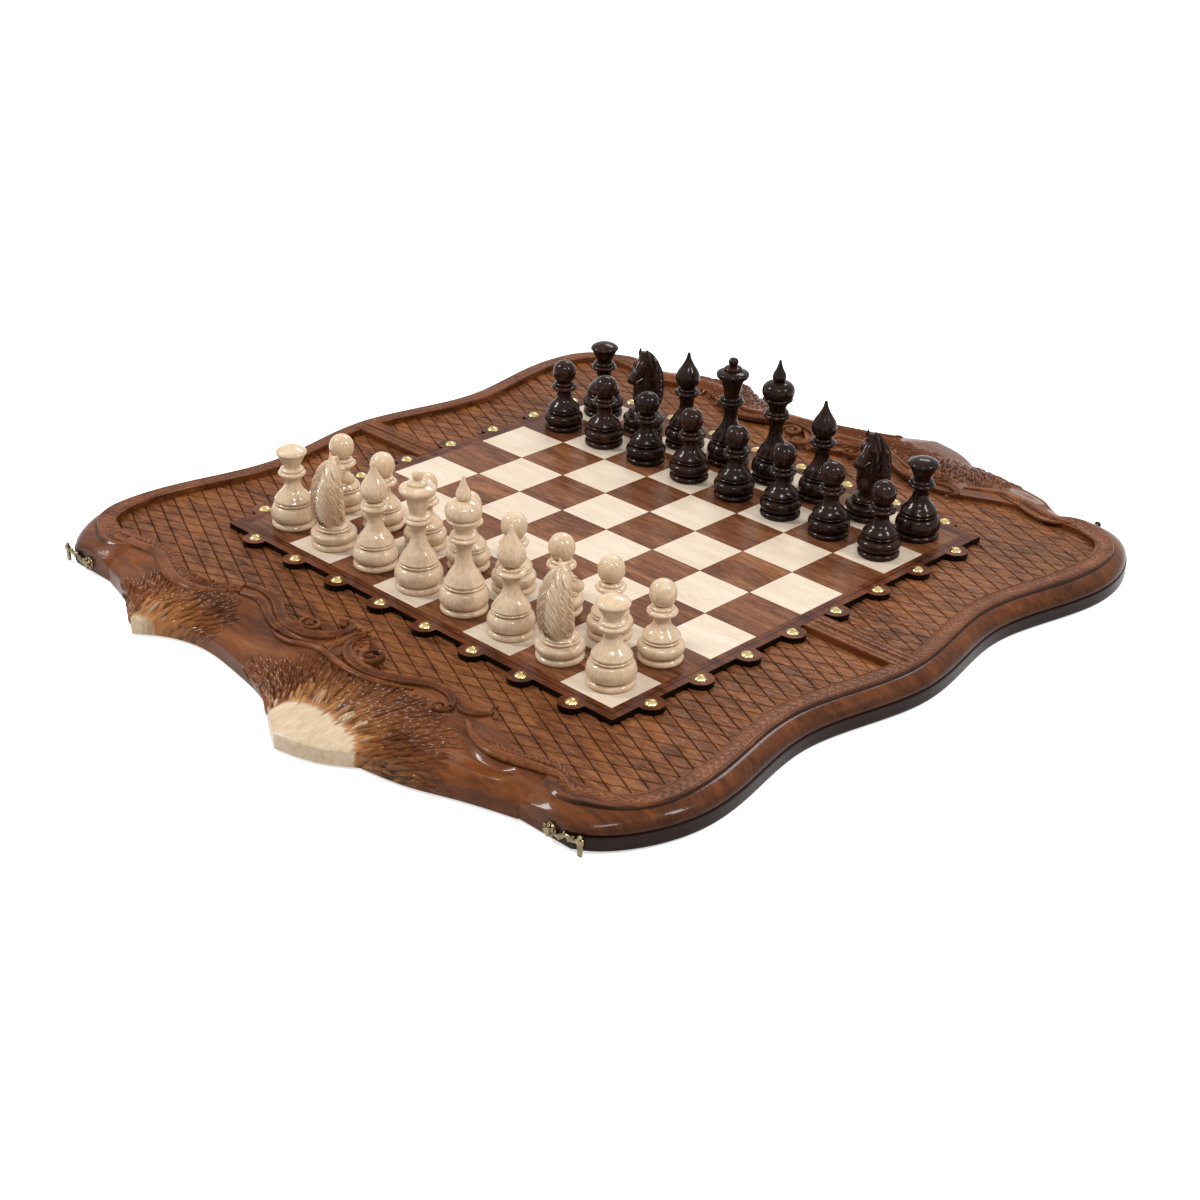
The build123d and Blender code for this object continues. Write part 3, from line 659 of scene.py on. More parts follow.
def plan(inset, pull):
    """The closed plan of the white half: right side, corner, apron, corner, left side and fold."""
    right = smooth_line(side_points(1, inset), station_counts["side"], fold_heading, corner_heading)
    left = right[::-1] * (-1, 1)
    crown_x, crown_y = corner_crown[0], corner_crown[1] + crown_slide * pull
    first, last = at_pull(apron_stretches[0][0], pull), at_pull(apron_stretches[-1][-1], pull)
    corner = arc_through(tuple(right[-1]), (crown_x, crown_y), first, station_counts["corner"])
    other = arc_through(last, (-crown_x, crown_y), tuple(left[0]), station_counts["corner"])
    runs = [right, corner]
    for stretch, count in zip(apron_stretches, apron_counts):
        runs.append(smooth_line([at_pull(point, pull) for point in stretch], count))
    runs += [other, left, fold_line(left[-1], right[0])]
    whole = np.vstack([run[:-1] for run in runs])
    on_facet = (abs(whole[:, 0]) > facet_reach[0]) & (abs(whole[:, 0]) < facet_reach[1])
    whole[on_facet, 1] = np.maximum(whole[on_facet, 1], facet_y)
    return whole


stations = len(plan(0, 0))
corner_start = station_counts["side"] - 1
apron_start = corner_start + station_counts["corner"] - 1
apron_end = apron_start + sum(count - 1 for count in apron_counts)
left_start = apron_end + station_counts["corner"] - 1
fold_start = left_start + station_counts["side"] - 1
print("stations round one half:", stations)

# %% [markdown]
# ## Edge of the sunk field
# Inside the band and the ridge of the apron lies the sunk field. Its edge has as many stations as
# the plan, so the land between them is one strip of quads: even along the sides, and as wide as
# the scrolls need along the apron.
# %% Field edge
band_inset = 11.5
field_inset = 24.0
seam_band_width = 10.4
field_corner = (248, -247)
field_heading = (-0.75, -0.6)
field_right = [field_corner, (238, -251.5), (225, -253), (206, -254.3)]
field_front = [(206, -254.3), (180, -256), (134, -239), (90, -239), (42, -254), (3, -228), (-30, -254),
               (-67, -243), (-103, -243), (-135, -257), (-180, -246), (-206, -249.5)]
field_left = [(-206, -249.5), (-225, -252), (-238, -251), (-248, -247)]


def field_edge():
    """The edge of the sunk field, with one place for every station of the plan."""
    start = (seam_half_width - field_inset, -seam_band_width)
    side = [start, *side_points(1, field_inset)[1:3], field_corner]
    right = smooth_line(side, station_counts["side"], fold_heading, field_heading)
    around = smooth_line(field_right, station_counts["corner"])
    front = smooth_line(field_front, apron_end - apron_start + 1)
    back = smooth_line(field_left, station_counts["corner"])
    left = right[::-1] * (-1, 1)
    fold = fold_line(left[-1], right[0])
    return np.vstack([run[:-1] for run in (right, around, front, back, left, fold)])


field_plan = field_edge()
print("field edge stations:", len(field_plan))

# %% [markdown]
# ## Profiles
# A moulding plane cuts the same profile all along the sides: a plain wall, a thin groove, and a
# quarter round that ends in a fillet under the band. The apron was shaped by hand from a steep
# end face to a long soft slope. Both are given as a run of places from the foot to the top, with
# the same number of steps, and the corner blends one into the other.
# %% Profiles of the moulding and the apron
rim_z = 1.8
top_z = 23.75
field_z = 18.75
wall_steps = 50
side_runs = [
    evenly(np.array([(0.7, rim_z), (0.0, 2.6), (0.0, 10.9)]), 12),
    smooth_line([(0.0, 10.9), (0.5, 11.2), (1.3, 11.45), (1.45, 11.75), (0.95, 12.0)], 10),
    smooth_line([(0.95, 12.0), (0.75, 13.0), (1.1, 14.6), (2.0, 16.3), (3.6, 18.2), (6.0, 19.9),
                 (8.4, 21.0), (10.2, 21.5)], 22),
    smooth_line([(10.2, 21.5), (10.6, 21.35), (10.9, 21.6), (11.05, 22.4), (11.1, 23.3), (11.5, top_z)], 8),
]
side_profile = evenly(np.vstack(side_runs), wall_steps)
apron_run = (60.0, 1.0)
apron_profile = smooth_line([(0.0, rim_z), (0.0, 6.0), (0.001, 11.0), (0.02, 12.9), (0.07, 14.2),
                             (0.18, 16.2), (0.30, 17.9), (0.44, 19.4), (0.60, 20.8), (0.78, 22.0),
                             (0.92, 22.9), (1.0, 23.4)], 400)
apron_profile = evenly(apron_profile * apron_run, wall_steps) / apron_run


def soft_change(share):
    """A share from 0 to 1 that starts and ends gently."""
    return share * share * (3 - 2 * share)


def blend_to_apron():
    """0 on the sides, 1 on the apron, and a smooth change round each corner."""
    share = np.zeros(stations)
    rise = soft_change(np.linspace(0, 1, station_counts["corner"]))
    share[corner_start:apron_start + 1] = rise
    share[apron_start:apron_end] = 1
    share[apron_end:left_start + 1] = rise[::-1]
    return share


apron_share = blend_to_apron()
print("steps from the foot to the top:", wall_steps)

# %% [markdown]
# ## Carving of the apron
# Two tips of the apron are left as bare pale wood, and from each of them the carver pulled short
# curved strokes like fur, out over the slope. A stroke is a narrow valley. Noise that changes
# quickly round the tip and slowly away from it is zero along just such wavy lines, so the valleys
# follow its zeros. Further along, the slope is smooth: a hollow on one side, a roll on the other.
# %% Carving marks
tips = [
    {"centre": (66.0, -345.0), "reach": 112.0, "strokes": 10.5,
     "border": [(25, -336), (27.6, -311), (35, -306), (48, -303.5), (62, -303), (76, -305), (90, -307),
                (98, -312), (103, -330)]},
    {"centre": (-124.0, -326.0), "reach": 66.0, "strokes": 7.0,
     "border": [(-139, -330), (-136, -313), (-129, -307.5), (-119, -305), (-110, -303.5), (-103, -304),
                (-97, -318)]},
]
stroke_depth = 0.5
swells = [
    {"lift": -3.6, "x": -52, "width": 30, "pull": 0.5, "spread": 0.3},
    {"lift": -2.0, "x": 20, "width": 14, "pull": 0.35, "spread": 0.25},
    {"lift": 4.2, "x": 168, "width": 42, "pull": 0.2, "spread": 0.15},
    {"lift": -4.0, "x": 168, "width": 38, "pull": 0.66, "spread": 0.2},
    {"lift": 1.8, "x": -178, "width": 26, "pull": 0.2, "spread": 0.18},
    {"lift": -1.6, "x": -178, "width": 28, "pull": 0.65, "spread": 0.2},
]


def smooth_step(low, high, value):
    """0 below the low value, 1 above the high one, with a soft change between."""
    return soft_change(min(max((value - low) / (high - low), 0.0), 1.0))


def border_at(tip, x):
    """Where the bare wood of a tip ends, at one place along the apron."""
    return np.interp(x, [place[0] for place in tip["border"]], [place[1] for place in tip["border"]])


def fur(tip, x, y, z):
    """Lift of the fur strokes at a place, with its bare and golden shares and the painted shade in its
    valleys.
    """
    dx, dy = x - tip["centre"][0], y - tip["centre"][1] + 0.9 * (z - rim_z)
    away = math.hypot(dx, dy)
    angle = math.atan2(dx, dy)
    strokes = tip["strokes"]
    streak = noise.noise(Vector((angle * strokes * 2.6, away / 30, 5.0)))
    inside = border_at(tip, x) - y + 5.0 * streak
    limit = 0.86 * tip["reach"] + 12.0 * noise.noise(Vector((angle * 5, 1.5, 0)))
    within = 1 - smooth_step(limit - 10, limit + 2, away)
    presence = smooth_step(-1.0, -8.0, inside) * within
    bend = 0.10 * noise.noise(Vector((x / 26, y / 26, 2.0)))
    coarse = noise.noise(Vector(((angle + bend) * strokes, away / 34, 9.0)))
    close = noise.noise(Vector(((angle + 1.4 * bend) * strokes * 1.9, away / 15, 4.0)))
    valley = math.exp(-(coarse / 0.11) ** 2) + 0.55 * math.exp(-(close / 0.13) ** 2)
    swell = 1.5 * abs(coarse) + 0.5 * abs(close)
    bare = smooth_step(-1.5, 2.5, inside)
    golden = smooth_step(-60.0, -1.0, inside) * (0.35 + 0.9 * max(close, 0) + 0.4 * abs(coarse))
    golden = min(golden * 1.3, 1.0) * within * (1 - bare)
    lift = presence * stroke_depth * (swell - 0.75 * valley)
    # The last number is painted shade in the valleys between the strokes.
    return lift, bare, golden, presence * min(0.2 + 0.7 * valley, 0.9)


def bell(value, middle, width):
    """A soft hump round a middle."""
    return math.exp(-((value - middle) / width) ** 2)


def shape_of_apron(x, pull):
    """Hollows and rolls of the smooth stretches, outwards from the plain slope."""
    lift = 0.0
    for swell in swells:
        along = bell(x, swell["x"], swell["width"])
        lift += swell["lift"] * along * bell(pull, swell["pull"], swell["spread"])
    return lift


print("tips left bare:", len(tips))

# %% [markdown]
# ## The case
# The case is one block of wood, so it is one closed mesh: a ring on the underside, then ring after
# ring up the wall, over the land and down to the sunk field, and the other way into the hollow
# tray. Each ring is extruded from the last one and set in place, which keeps the quads in rows
# along the edge, as the strokes of the carver run.
# %% Make a piece, or one for each half
carving_marks_and_shade = ("shade_mark", "golden", "bare")
smallest_gap = 0.0005


def make_piece(bm, name, finish, body, crease=38, stands_for=()):
    """Clean a mesh in millimetres, bring it to metres and hang it on its body."""
    bmesh.ops.remove_doubles(bm, verts=bm.verts, dist=smallest_gap)
    bmesh.ops.recalc_face_normals(bm, faces=bm.faces)
    bmesh.ops.scale(bm, vec=(mm, mm, mm), verts=bm.verts)
    mesh = bpy.data.meshes.new(name)
    bm.to_mesh(mesh)
    bm.free()
    mesh.shade_smooth()
    mesh.set_sharp_from_angle(angle=math.radians(crease))
    mesh.materials.append(finish)
    piece = bpy.data.objects.new(name, mesh)
    scene.collection.objects.link(piece)
    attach(piece, body)
    if stands_for:
        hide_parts(*stands_for)
    print(name, "has", len(mesh.polygons), "faces")


def mirrored(bm):
    """The same mesh for the black half, whose apron is stained all over."""
    bmesh.ops.scale(bm, vec=(1, -1, 1), verts=bm.verts)
    for name in ("golden", "bare"):
        layer = bm.verts.layers.float.get(name)
        for vert in bm.verts if layer else ():
            vert[layer] = 0.0
    bmesh.ops.reverse_faces(bm, faces=bm.faces)
    return bm


def make_halves(bm, name, finish, crease=38, stands_for=None):
    """A piece of the white half and its mirror image on the black half."""
    for colour, mesh in (("white", bm), ("black", mirrored(bm.copy()))):
        nodes = (f"{colour}_half_{stands_for}",) if stands_for else ()
        make_piece(mesh, f"{colour}_{name}", finish, f"{colour}_half", crease, nodes)


print("ready to make pieces in two halves")

# %% Rings of vertices


def next_ring(bm, ring, places):
    """Extrude a closed ring of vertices and set the new one in its places."""
    places = np.array(places)
    edges = [bm.edges.get((ring[i - 1], ring[i])) for i in range(len(ring))]
    made = bmesh.ops.extrude_edge_only(bm, edges=edges)["geom"]
    fresh = {vert for vert in made if isinstance(vert, bmesh.types.BMVert)}
    following = [next(edge.other_vert(vert) for edge in vert.link_edges if edge.other_vert(vert) in fresh)
                 for vert in ring]
    for vert, place in zip(following, places):
        vert.co = place
    return following


def with_height(points, heights):
    """Plan places with a height for each, or one for all."""
    return np.column_stack([points, np.broadcast_to(heights, len(points))])


def under_panel(places):
    """The same ring, kept down to the sunk field where the chess panel runs over the fold."""
    beside_fold = np.arange(stations) >= fold_start
    covered = beside_fold & (abs(places[:, 0]) <= panel_bed + 0.01)
    places[covered, 2] = np.minimum(places[covered, 2], field_z - 0.1)
    return places


def wall_places(step):
    """The plan at one step of the wall."""
    inset, side_z = side_profile[step]
    pull, apron_z = apron_profile[step]
    return under_panel(with_height(plan(inset, pull), side_z + (apron_z - side_z) * apron_share))


print("rings of", stations, "vertices can be laid")

# %% Places and stain of the case
tray_floor_z = 16.0
tray_mouth = {"half_width": 254.0, "near": -12.0, "far": -242.0}
land_hollow = 0.35
field_drops = (0.35, 2.5, 5.6)


def tray_places(height):
    """A place on the mouth of the tray for every station, side for side and corner for corner."""
    half_width, near, far = tray_mouth.values()
    corners = [(half_width, near), (half_width, far), (-half_width, far), (-half_width, near)]
    middle = (apron_start - corner_start) // 2
    marks = [0, corner_start + middle, apron_end + middle, fold_start, stations]
    line = []
    for i in range(4):
        run = evenly(np.array([corners[i], corners[(i + 1) % 4]]), marks[i + 1] - marks[i] + 1)
        line.append(run[:-1])
    return with_height(np.vstack(line), height)


def moulding_painted_shade(inset, height):
    """How much painted shade and painted reflection the moulding gets: nearly black on the wall, in the
    groove and under the fillet.
    """
    # Painted reflection and painted shade: the baseline and the dark wall and lower quarter round stand for
    # dark surroundings mirrored in the lacquer, and the two bells darken the groove and the step under the
    # fillet.
    shade = 0.2 + 0.3 * (1 - smooth_step(11.0, 12.6, height)) + 0.5 * (1 - smooth_step(12.5, 20.5, height))
    shade += 0.9 * bell(height, 11.6, 0.45) + 1.0 * bell(inset, 10.75, 0.4) * (height > 20)
    return 1.15 * min(shade, 1.0)


def carve_apron(rings, shade_mark, golden, bare):
    """Push the vertices of the apron out or in, and mark how bare and golden they are and how much painted
    shade they get.
    """
    for ring, pull in rings:
        for vert in ring[apron_start - 20:apron_end + 20]:
            x, y, z = vert.co
            lift = shape_of_apron(x, pull)
            for tip in tips:
                stroke, bareness, gold, depth = fur(tip, x, y, z)
                lift += stroke
                vert[bare] = max(vert[bare], bareness)
                vert[golden] = max(vert[golden], gold)
                # Painted shade in the valleys of the fur strokes.
                vert[shade_mark] = max(vert[shade_mark], depth)
            fade = 1 - smooth_step(facet_reach[0] - 26, facet_reach[0] - 6, abs(x))
            fade *= smooth_step(rim_z - 0.5, rim_z + 3.0, z)
            vert.co += vert.normal * lift * fade * (1 if pull < 1 else 0.35)


print("stain at the foot of the moulding:", round(moulding_painted_shade(*side_profile[0]), 2))

# %% Build the case


def build_case():
    """The whole closed case of the white half, with its carving marks on the vertices."""
    bm = bmesh.new()
    shade_mark, bare, golden = [bm.verts.layers.float.new(name) for name in ("shade_mark", "bare", "golden")]
    bmesh.ops.create_circle(bm, segments=stations, radius=1.0)
    bm.verts.ensure_lookup_table()
    mouth = list(bm.verts)
    for vert, place in zip(mouth, tray_places(tray_floor_z)):
        vert.co = place
    bmesh.ops.contextual_create(bm, geom=mouth)
    ring = next_ring(bm, mouth, tray_places(rim_z))
    rings = []
    for step in range(wall_steps):
        ring = next_ring(bm, ring, wall_places(step))
        rings.append((ring, apron_profile[step][0]))
    outer = plan(band_inset, 1.0)
    for share in np.linspace(0.1, 1.0, 8):
        heights = top_z - land_hollow * apron_share * math.sin(math.pi * share)
        ring = next_ring(bm, ring, under_panel(with_height(outer + (field_plan - outer) * share, heights)))
        rings.append((ring, 1.0))
    for drop in field_drops:
        ring = next_ring(bm, ring, under_panel(with_height(field_plan, top_z - drop)))
    bmesh.ops.contextual_create(bm, geom=ring)
    bmesh.ops.recalc_face_normals(bm, faces=bm.faces)
    bm.normal_update()
    # Painted shade and painted reflection on the moulding, faded out round the corners towards the apron.
    for (ring, _), place in zip(rings, side_profile):
        painted_shade = moulding_painted_shade(*place)
        for vert, share in zip(ring, apron_share):
            vert[shade_mark] = painted_shade * (1 - share)
    carve_apron(rings, shade_mark, golden, bare)
    return bm


white_case = build_case()
slope = BVHTree.FromBMesh(white_case)
make_halves(white_case, "carved_case", case_finish, crease=26, stands_for="case")

# %% [markdown]
# ## The lattice
# The sunk field is cut with two sets of parallel grooves that cross in long lozenges. A grid that
# is sheared until its squares are lozenges has the same pattern, so each square of the grid is
# one lozenge: it is inset and lifted, which leaves a valley between neighbours, and then it is
# subdivided and roughened as a gouge leaves it. What lies under the band or the panel is removed.
# %% Measures of the lattice
groove_slope = 0.47
groove_spacing = 12.1
groove_width = 0.7
lozenge_rise = 0.95
lattice_cells = 46
lattice_middle_y = -130.0
gouge_height = 0.28
panel_overlap = 4


def inside_line(line, x, y):
    """Whether a place is inside a closed line."""
    after = np.roll(line, -1, axis=0)
    crosses = (line[:, 1] > y) != (after[:, 1] > y)
    rise = np.where(crosses, after[:, 1] - line[:, 1], 1.0)
    meets = line[:, 0] + (y - line[:, 1]) * (after[:, 0] - line[:, 0]) / rise
    return np.count_nonzero(crosses & (x < meets)) % 2 == 1


print("the middle of the board is in the field:", inside_line(field_plan, 0, -100))

# %% Build the lattice


def near_field(place, margin):
    """Whether a place is in the sunk field or within a margin of its edge, and not under the panel."""
    if abs(place.x) < panel_bed - panel_overlap and place.y > panel_overlap - panel_bed:
        return False
    if inside_line(field_plan, place.x, place.y):
        return True
    return np.min(np.hypot(field_plan[:, 0] - place.x, field_plan[:, 1] - place.y)) < margin


def clear_outside(bm, margin):
    """Delete the faces that lie under the band or the panel."""
    away = [face for face in bm.faces if not near_field(face.calc_center_median(), margin)]
    bmesh.ops.delete(bm, geom=away, context="FACES")


def build_lattice():
    """Carved lozenges over the sunk field of the white half."""
    bm = bmesh.new()
    shade_mark = bm.verts.layers.float.new("shade_mark")
    bmesh.ops.create_grid(bm, x_segments=lattice_cells, y_segments=lattice_cells, size=lattice_cells / 2)
    across = groove_spacing / (2 * groove_slope)
    down = groove_spacing / 2
    shear = Matrix(((across, -across, 0, 0), (down, down, 0, lattice_middle_y),
                    (0, 0, 1, field_z - 0.25), (0, 0, 0, 1)))
    bmesh.ops.transform(bm, matrix=shear, verts=bm.verts)
    clear_outside(bm, 16.0)
    # Painted shade: every vertex starts fully marked and the lozenge tops are cleared below, so the grooves
    # are painted dark.
    for vert in bm.verts:
        vert[shade_mark] = 1.0
    lozenges = bm.faces[:]
    bmesh.ops.inset_individual(bm, faces=lozenges, thickness=groove_width, depth=lozenge_rise,
                               use_even_offset=True)
    for face in lozenges:
        for vert in face.verts:
            vert[shade_mark] = 0.0
    bmesh.ops.subdivide_edges(bm, edges=bm.edges[:], cuts=2, use_grid_fill=True)
    clear_outside(bm, 3.0)
    for vert in bm.verts:
        gouge = noise.noise(Vector((vert.co.x / 7.0, vert.co.y / 2.6, 1.0)))
        if vert[shade_mark] < 0.3:
            vert.co.z += gouge_height * gouge
        vert[shade_mark] = 0.9 * vert[shade_mark] ** 1.5
    bmesh.ops.solidify(bm, geom=bm.faces[:] + bm.edges[:] + bm.verts[:], thickness=0.5)
    return bm


make_halves(build_lattice(), "lattice", field_finish)

# %% [markdown]
# ## Plaited bands
# A band of plaited leaves runs round the field, between two thin fillets, and two rows of beads
# lie along the fold. Each is a long strip, so it starts as a grid whose rows follow a line and
# whose columns cross it. The height comes from where a vertex lies in the pattern: rounded leaves
# in two rows that lean towards each other, or that stand straight for the beads.
# %% Pattern of the bands
band_z = top_z + 0.05
band_edge = 0.97
leaf_lean = 0.55
bead_row = 2.3


def leaf_height(along, across, pitch, lean):
    """Height of the nearest leaf in one row of the pattern."""
    step = along - pitch * round(along / pitch)
    length = step * math.cos(lean) + across * math.sin(lean)
    width = across * math.cos(lean) - step * math.sin(lean)
    rest = 1 - (length / (0.62 * pitch)) ** 2 - (width / (0.27 * pitch)) ** 2
    return math.sqrt(rest) if rest > 0 else 0.0


def plait(distance, inner, across, pitch):
    """Height and painted shade of plaited leaves between two fillets, darker where the pattern sinks."""
    first = leaf_height(distance, inner - 0.24 * pitch, pitch, leaf_lean)
    second = leaf_height(distance + pitch / 2, inner + 0.24 * pitch, pitch, -leaf_lean)
    leaf = max(first, second)
    fillet = bell(abs(across), 0.88, 0.09)
    # The second number is painted shade: outside the band and in the low parts of the pattern.
    if abs(across) > band_edge:
        return -0.6, 0.2
    return 0.6 * (0.75 * leaf + 0.8 * fillet) - 0.15, max(0.0, 1 - 2.2 * max(leaf, fillet))


def beads(distance, inner, across, pitch):
    """Height and painted shade of two rows of small leaf-shaped beads between three fillets."""
    bead = 0.8 * max(leaf_height(distance, inner + row, pitch, 0.0) for row in (-bead_row, bead_row))
    fillet = max(bell(abs(across), 0.9, 0.07), bell(across, 0.0, 0.09))
    high = max(bead, fillet)
    return (0.55 * high - 0.1 if abs(across) < band_edge else -0.5), max(0.0, 0.8 - 1.9 * high)


print("height and stain of a leaf's middle:", plait(0.0, 1.2, 0.2, 5.0))

# %% Build the bands


def strip(line, half_width, pitch, pattern, step, columns, taper=0.0):
    """A strip of the pattern along a line in the plan."""
    bm = bmesh.new()
    shade_mark = bm.verts.layers.float.new("shade_mark")
    length = np.sum(np.linalg.norm(np.diff(line, axis=0), axis=1))
    rows = int(length / step)
    line = evenly(line, rows + 1)
    along = np.gradient(line, axis=0)
    along /= np.linalg.norm(along, axis=1)[:, None]
    sideways = np.column_stack([-along[:, 1], along[:, 0]])
    bmesh.ops.create_grid(bm, x_segments=rows, y_segments=columns, size=1)
    for vert in bm.verts:
        row = round((vert.co.x + 1) / 2 * rows)
        across = vert.co.y
        end_share = min(row, rows - row) / rows * 2
        width = half_width * (1 - taper + taper * min(1.0, end_share * 3))
        x, y = line[row] + sideways[row] * across * width
        height, vert[shade_mark] = pattern(length * row / rows, across * half_width, across, pitch)
        vert.co = (x, y, band_z + height)
    bmesh.ops.solidify(bm, geom=bm.faces[:] + bm.edges[:] + bm.verts[:], thickness=0.4)
    return bm


def join_meshes(meshes):
    """One bmesh out of several, with the carving marks and the painted shade kept."""
    whole = bmesh.new()
    for name in carving_marks_and_shade:
        whole.verts.layers.float.new(name)
    for part in meshes:
        mesh = bpy.data.meshes.new("part")
        part.to_mesh(mesh)
        part.free()
        whole.from_mesh(mesh)
        bpy.data.meshes.remove(mesh)
    return whole


def side_band_line(hand):
    """Middle of the band down one side and round the corner to the facet."""
    side = plan((band_inset + field_inset) / 2, 1.0)[:corner_start + 1]
    line = np.vstack([side, smooth_line([tuple(side[-1]), (229, -260.5), (217, -259)], 12)[1:]])
    return line * (hand, 1)


def seam_line(hand):
    """Middle of the beads along the fold, from the panel to the moulding."""
    return np.array([(hand * (panel_bed + 1.0), -5.4), (hand * (seam_half_width - band_inset - 4), -5.4)])


left_end = [(-215, -251), (-196, -248.5), (-178, -249.5), (-157, -258), (-136, -261.5), (-114, -254)]
right_end = [(219, -255), (207, -250.5), (193, -252.5), (176, -258.5), (154, -263)]
bands = [strip(side_band_line(hand), 5.9, 6.2, plait, 0.75, 18) for hand in (1, -1)]
bands.append(strip(smooth_line(left_end, 60), 3.6, 5.0, plait, 0.75, 18, taper=0.4))
bands.append(strip(smooth_line(right_end, 50), 2.8, 4.2, plait, 0.75, 18, taper=0.6))
bands += [strip(seam_line(hand), 4.9, 7.7, beads, 0.7, 20) for hand in (1, -1)]
make_halves(join_meshes(bands), "plaited_bands", band_finish)

# %% [markdown]
# ## Scrolls
# Leafy scrolls lie along the ridge of the apron. A carver leaves them standing as ribbons with
# raised edges that swell, thin out and curl. A closed profile is swept along each smooth path and
# scaled as it goes: a grooved one for the leaves and a round one for the stems. Small flattened
# balls are the berries in the curls.
# %% Sweep helper
round_section = [(math.cos(turn), math.sin(turn)) for turn in np.linspace(0, 2 * math.pi, 11)[:-1]]
leaf_section = [(-1, -0.8), (-1.0, 0.35), (-0.84, 0.9), (-0.62, 0.8), (-0.28, 0.36), (0.28, 0.36),
                (0.62, 0.8), (0.84, 0.9), (1.0, 0.35), (1, -0.8)]


def loft_rings(bm, rings):
    """A closed skin over a row of rings."""
    ring = bmesh.ops.create_circle(bm, segments=len(rings[0]), radius=1.0)["verts"]
    for vert, place in zip(ring, rings[0]):
        vert.co = place
    bmesh.ops.contextual_create(bm, geom=ring)
    for places in rings[1:]:
        ring = next_ring(bm, ring, places)
    bmesh.ops.contextual_create(bm, geom=ring)


def along_path(values, path):
    """A few values spread evenly over all the places of a path."""
    return np.interp(np.linspace(0, 1, len(path)), np.linspace(0, 1, len(values)), values)


def sweep_along(bm, path, widths, heights, up=(0, 0, 1), section=round_section):
    """Sweep a closed section along a path in space, with its own width and height at each place."""
    path = np.array(path, dtype=float)
    widths, heights = along_path(widths, path), along_path(heights, path)
    rings = []
    for place, forward, width, height in zip(path, np.gradient(path, axis=0), widths, heights):
        side = np.cross(forward, up)
        side /= np.linalg.norm(side)
        lift = np.cross(side, forward)
        lift /= np.linalg.norm(lift)
        rings.append([place + side * width * across + lift * height * rise for across, rise in section])
    loft_rings(bm, rings)


def berry(bm, place, radius, height):
    """A flattened ball."""
    made = bmesh.ops.create_uvsphere(bm, u_segments=14, v_segments=8, radius=1.0)["verts"]
    bmesh.ops.scale(bm, vec=(radius, radius, height), verts=made)
    bmesh.ops.translate(bm, vec=place, verts=made)


print("corners of a leaf's section:", len(leaf_section))

# %% [markdown]
# ## Fur
# The carver's strokes end in small raised tufts that overlap like hair. Each tuft is a short
# ridged leaf that points away from the bare tip, wavers, and lifts towards its end. Its places come
# from rays sent at the slope from in front and above, so it lies on the wood however steep that is.
# %% Places on the slope
slant = math.radians(34)
up_slope = Vector((0, math.cos(slant), math.sin(slant)))
into_slope = Vector((0, math.sin(slant), -math.cos(slant)))
ray_length = 400
lowest_tuft = 4.0
tuft_gap = 3.2
tuft_row_gap = 4.8
tuft_seed = 11
tuft_section = [(-1, -0.9), (-0.62, 0.35), (0, 1.0), (0.62, 0.35), (1, -0.9)]
# Painted shade at each corner of the section: dark at the foot of the tuft, none on its crest.
tuft_painted_shade = (1.0, 0.1, 0.0, 0.1, 1.0)
tuft_lifts = (-0.4, 0.30, 0.80, 1.05, 0.90, 0.1)
tuft_widths = (0.4, 1.0, 1.15, 1.0, 0.6, 0.15)
tuft_heights = (0.5, 0.95, 1.05, 0.9, 0.6, 0.2)
tuft_zones = [
    {"tip": 0, "centre": (64.0, -281.0), "radii": (12, 116), "middle": (64.0, -318.0), "size": (84.0, 68.0)},
    {"tip": 1, "centre": (-121.0, -268.0), "radii": (6, 66), "middle": (-124.0, -304.0),
     "size": (50.0, 48.0)},
]


def on_slope(across, up):
    """The place on the case that a ray meets, with its normal."""
    start = Vector((across, 0, 0)) + up_slope * up - into_slope * ray_length
    return slope.ray_cast(start, into_slope)[:2]


def tuft_root(zone, across, up, dice):
    """Where a tuft starts, or nothing if it would stand outside the fur."""
    place, _ = on_slope(across, up)
    if place is None or place.y > -262 or abs(place.x) > 178:
        return None
    edge = border_at(tips[zone["tip"]], place.x)
    if edge - place.y > -0.6 + dice.uniform(-0.8, 1.6):
        return None
    (middle_x, middle_y), (width, depth) = zone["middle"], zone["size"]
    out = math.hypot((place.x - middle_x) / width, (place.y - middle_y) / depth)
    out += 0.16 * noise.noise(Vector((place.x / 16, place.y / 16, 7)))
    if out > 1:
        return None
    return place.y - edge, 1 - smooth_step(0.72, 1.0, out)


def tuft_path(start, heading, length, strength):
    """Places and normals along one tuft, or nothing where it would reach the table."""
    path, normals = [], []
    turn = 0.55 * noise.noise(Vector((start[0] / 9, start[1] / 9, 3.0)))
    across, up = start
    steps = len(tuft_lifts) - 1
    for step, lift in enumerate(tuft_lifts):
        place, normal = on_slope(across, up)
        if place is None or place.z < lowest_tuft:
            return None
        path.append(place + normal * (lift - 0.75 * (1 - strength)))
        normals.append(normal)
        bent = heading + turn * step / steps
        across += math.sin(bent) * length / steps
        up += math.cos(bent) * length / steps
    return path, normals


print("places a tuft is swept through:", len(tuft_lifts))

# %% Lay the tufts


